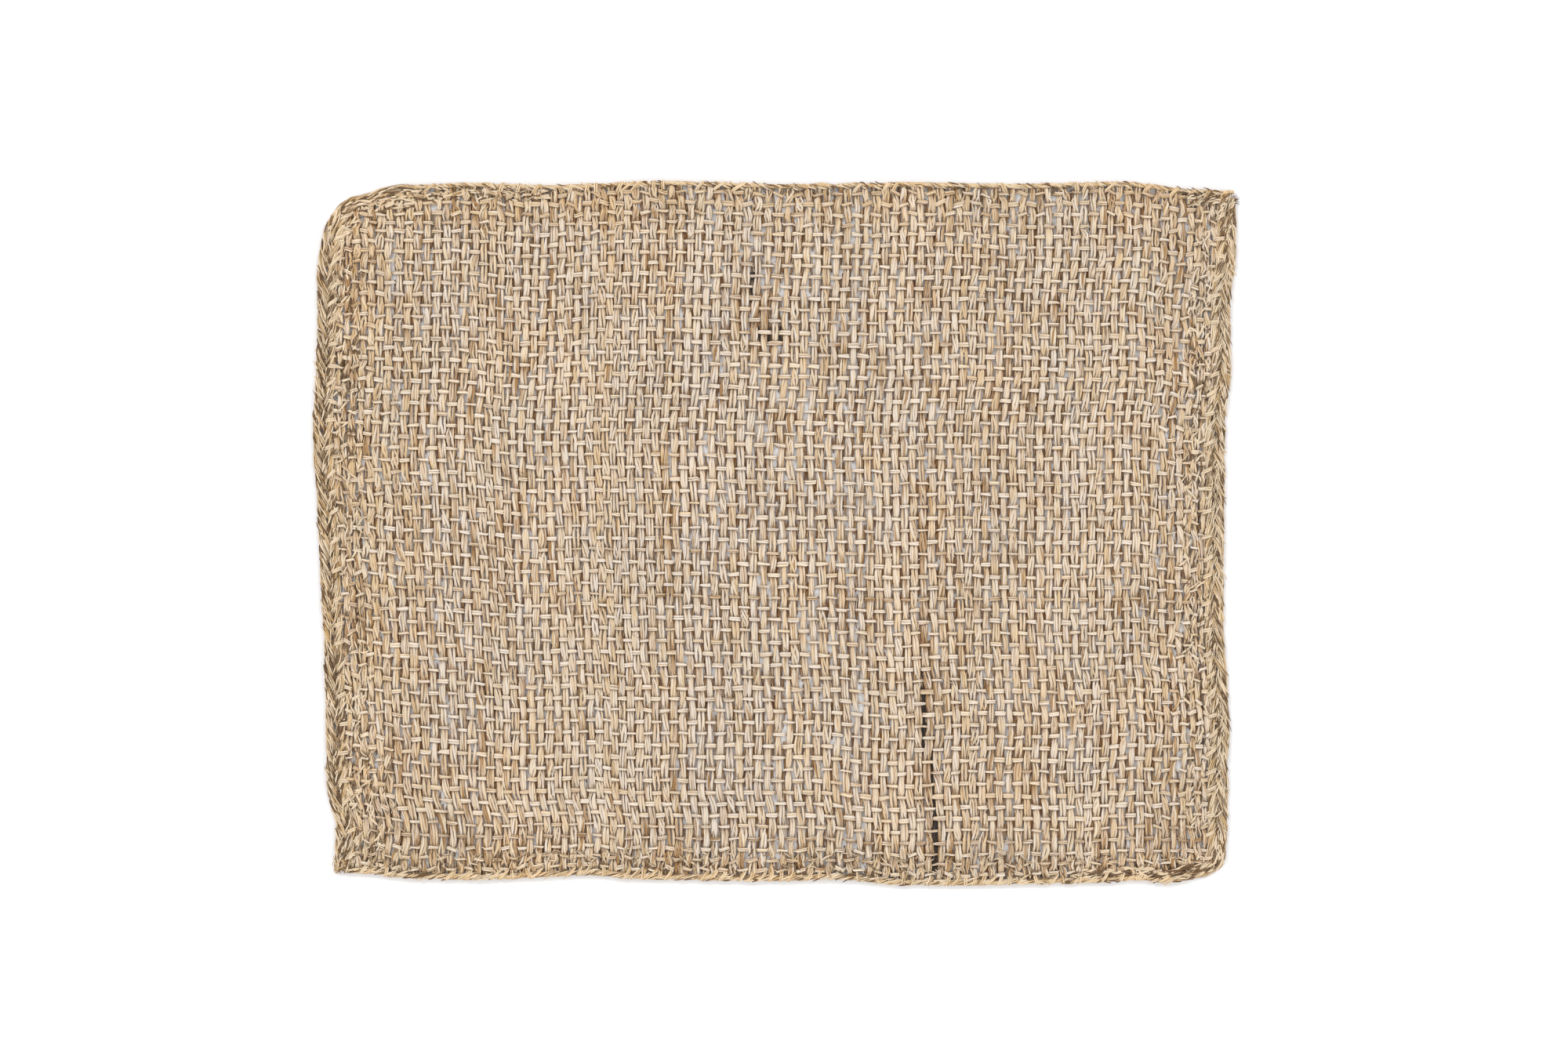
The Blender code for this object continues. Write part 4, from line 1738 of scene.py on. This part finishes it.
@dataclass
class Studio:
    """The floor, the light and the camera."""

    view_width: float = 0.788
    lens: float = 85.0
    sensor: float = 36.0
    look_at: tuple[float, float] = (0.0047, 0.0053)
    floor_reach: float = 2.6
    floor_colour: tuple[float, float, float, float] = (0.780, 0.780, 0.784, 1)
    lamp_size: float = 1.2
    air_colour: tuple[float, float, float, float] = (1.0, 0.985, 0.96, 1)
    air_low: float = 1.0
    air_overhead: float = 0.54

    def floor(self) -> None:
        """Lay a plain pale floor under the mat."""
        reach = self.floor_reach
        corners = [(-reach, -reach, 0), (reach, -reach, 0), (reach, reach, 0), (-reach, reach, 0)]
        mesh = bpy.data.meshes.new("floor")
        mesh.from_pydata(corners, [], [(0, 1, 2, 3)])
        material = bpy.data.materials.new("floor_paint")
        material.use_nodes = True
        shader = material.node_tree.nodes["Principled BSDF"]
        shader.inputs["Base Color"].default_value = self.floor_colour
        shader.inputs["Roughness"].default_value = 0.9
        mesh.materials.append(material)
        plane = bpy.data.objects.new("floor", mesh)
        bpy.context.scene.collection.objects.link(plane)

    def lamp(self, name: str, place: tuple[float, float, float], power: float) -> None:
        """Hang one soft square lamp that faces the mat's middle.

        Args:
            name: the lamp's name.
            place: where it hangs.
            power: its power in watts.
        """
        data = bpy.data.lights.new(name, "AREA")
        data.size = self.lamp_size
        data.energy = power
        thing = bpy.data.objects.new(name, data)
        thing.location = place
        thing.rotation_mode = "QUATERNION"
        thing.rotation_quaternion = Vector(-np.array(place)).to_track_quat("-Z", "Y")
        bpy.context.scene.collection.objects.link(thing)

    def light(self) -> None:
        """Light the mat from four soft lamps round it, the upper left one brightest."""
        self.lamp("lamp_upper_left", (-1.5, 1.9, 1.9), 58.0)
        self.lamp("lamp_upper_right", (1.8, 1.5, 1.6), 41.0)
        self.lamp("lamp_lower_left", (-1.8, -1.6, 1.5), 35.0)
        self.lamp("lamp_lower_right", (1.6, -1.8, 1.5), 35.0)

    def air(self) -> None:
        """Surround the mat with pale light, weaker overhead than near the floor."""
        world = bpy.data.worlds.new("studio_air")
        world.use_nodes = True
        wires = Wiring(world.node_tree)
        place, parts = wires.node("TexCoord"), wires.node("SeparateXYZ")
        wires.join(place.outputs["Generated"], parts.inputs[0])
        strength = wires.stretch(parts.outputs["Z"], 0.0, 0.75, self.air_low, self.air_overhead)
        background = wires.tree.nodes["Background"]
        wires.join(strength, background.inputs["Strength"])
        wires.join(self.air_colour, background.inputs["Color"])
        bpy.context.scene.world = world
        bpy.context.scene.view_settings.view_transform = "Standard"

    def camera(self) -> None:
        """Set the camera straight above, framed as the photograph is."""
        data = bpy.data.cameras.new("camera")
        data.lens = self.lens
        data.sensor_width = self.sensor
        thing = bpy.data.objects.new("camera", data)
        thing.location = (*self.look_at, self.view_width * self.lens / self.sensor)
        bpy.context.scene.collection.objects.link(thing)
        bpy.context.scene.camera = thing

    def build(self) -> None:
        """Set up the whole studio."""
        self.floor()
        self.light()
        self.air()
        self.camera()


def main() -> None:
    """Build and dress the mat, then set up the studio."""
    logging.basicConfig(level=logging.INFO, format="%(message)s")
    groups = ShaderGroups()
    warp, weft, plait, cord, dark = (
        finish.build(groups) for finish in (WARP_FINISH, WEFT_FINISH, PLAIT_FINISH, CORD_FINISH, DARK_FINISH)
    )
    outline = MatOutline()
    plan = WeavePlan(outline)
    upper, lower = outline.left_top, outline.right_bottom
    pieces = WovenCloth(plan).build(warp, weft)
    left_plait, right_plait = EdgePlait(outline, upper, seed=5), EdgePlait(outline, lower, seed=6)
    top_cord = EndCord(
        plan, upper, Lean.LEFT, far=0.2310, pitch=0.0085, helix=0.00066, loop_share=0.3, seed=3
    )
    bottom_cord = EndCord(
        plan, lower, Lean.RIGHT, far=0.2215, pitch=0.015, helix=0.00095, inset=0.0019, seed=4
    )
    upper_fibres = EdgeFibres(outline, upper, LEFT_TOP_BANDS, seed=41)
    lower_fibres = EdgeFibres(outline, lower, RIGHT_BOTTOM_BANDS, seed=42)
    pieces += [
        left_plait.build("plait_left", "edge_plait_left", "plait", plait),
        right_plait.build("plait_right", "edge_plait_right", "plait", plait),
        top_cord.build("cord_top", "end_cord_top", "cord", cord),
        bottom_cord.build("cord_bottom", "end_cord_bottom", "cord", cord),
        CornerEnds().build("corner_knots", "edge_plait_right", "cord", cord),
        upper_fibres.build("edge_fibres_upper", "edge_plait_left", "plait", plait),
        lower_fibres.build("edge_fibres_lower", "edge_plait_right", "plait", plait),
        LooseFibres(plan).build("loose_fibres", "woven_cloth", "cloth", warp),
        SlitFibres(plan).build("slit_fibres", "woven_cloth", "cloth", dark),
    ]
    for piece in pieces:
        log.info("%s: %d points, %d faces", piece.name, len(piece.data.vertices), len(piece.data.polygons))
    Studio().build()


if __name__ == "__main__":
    main()
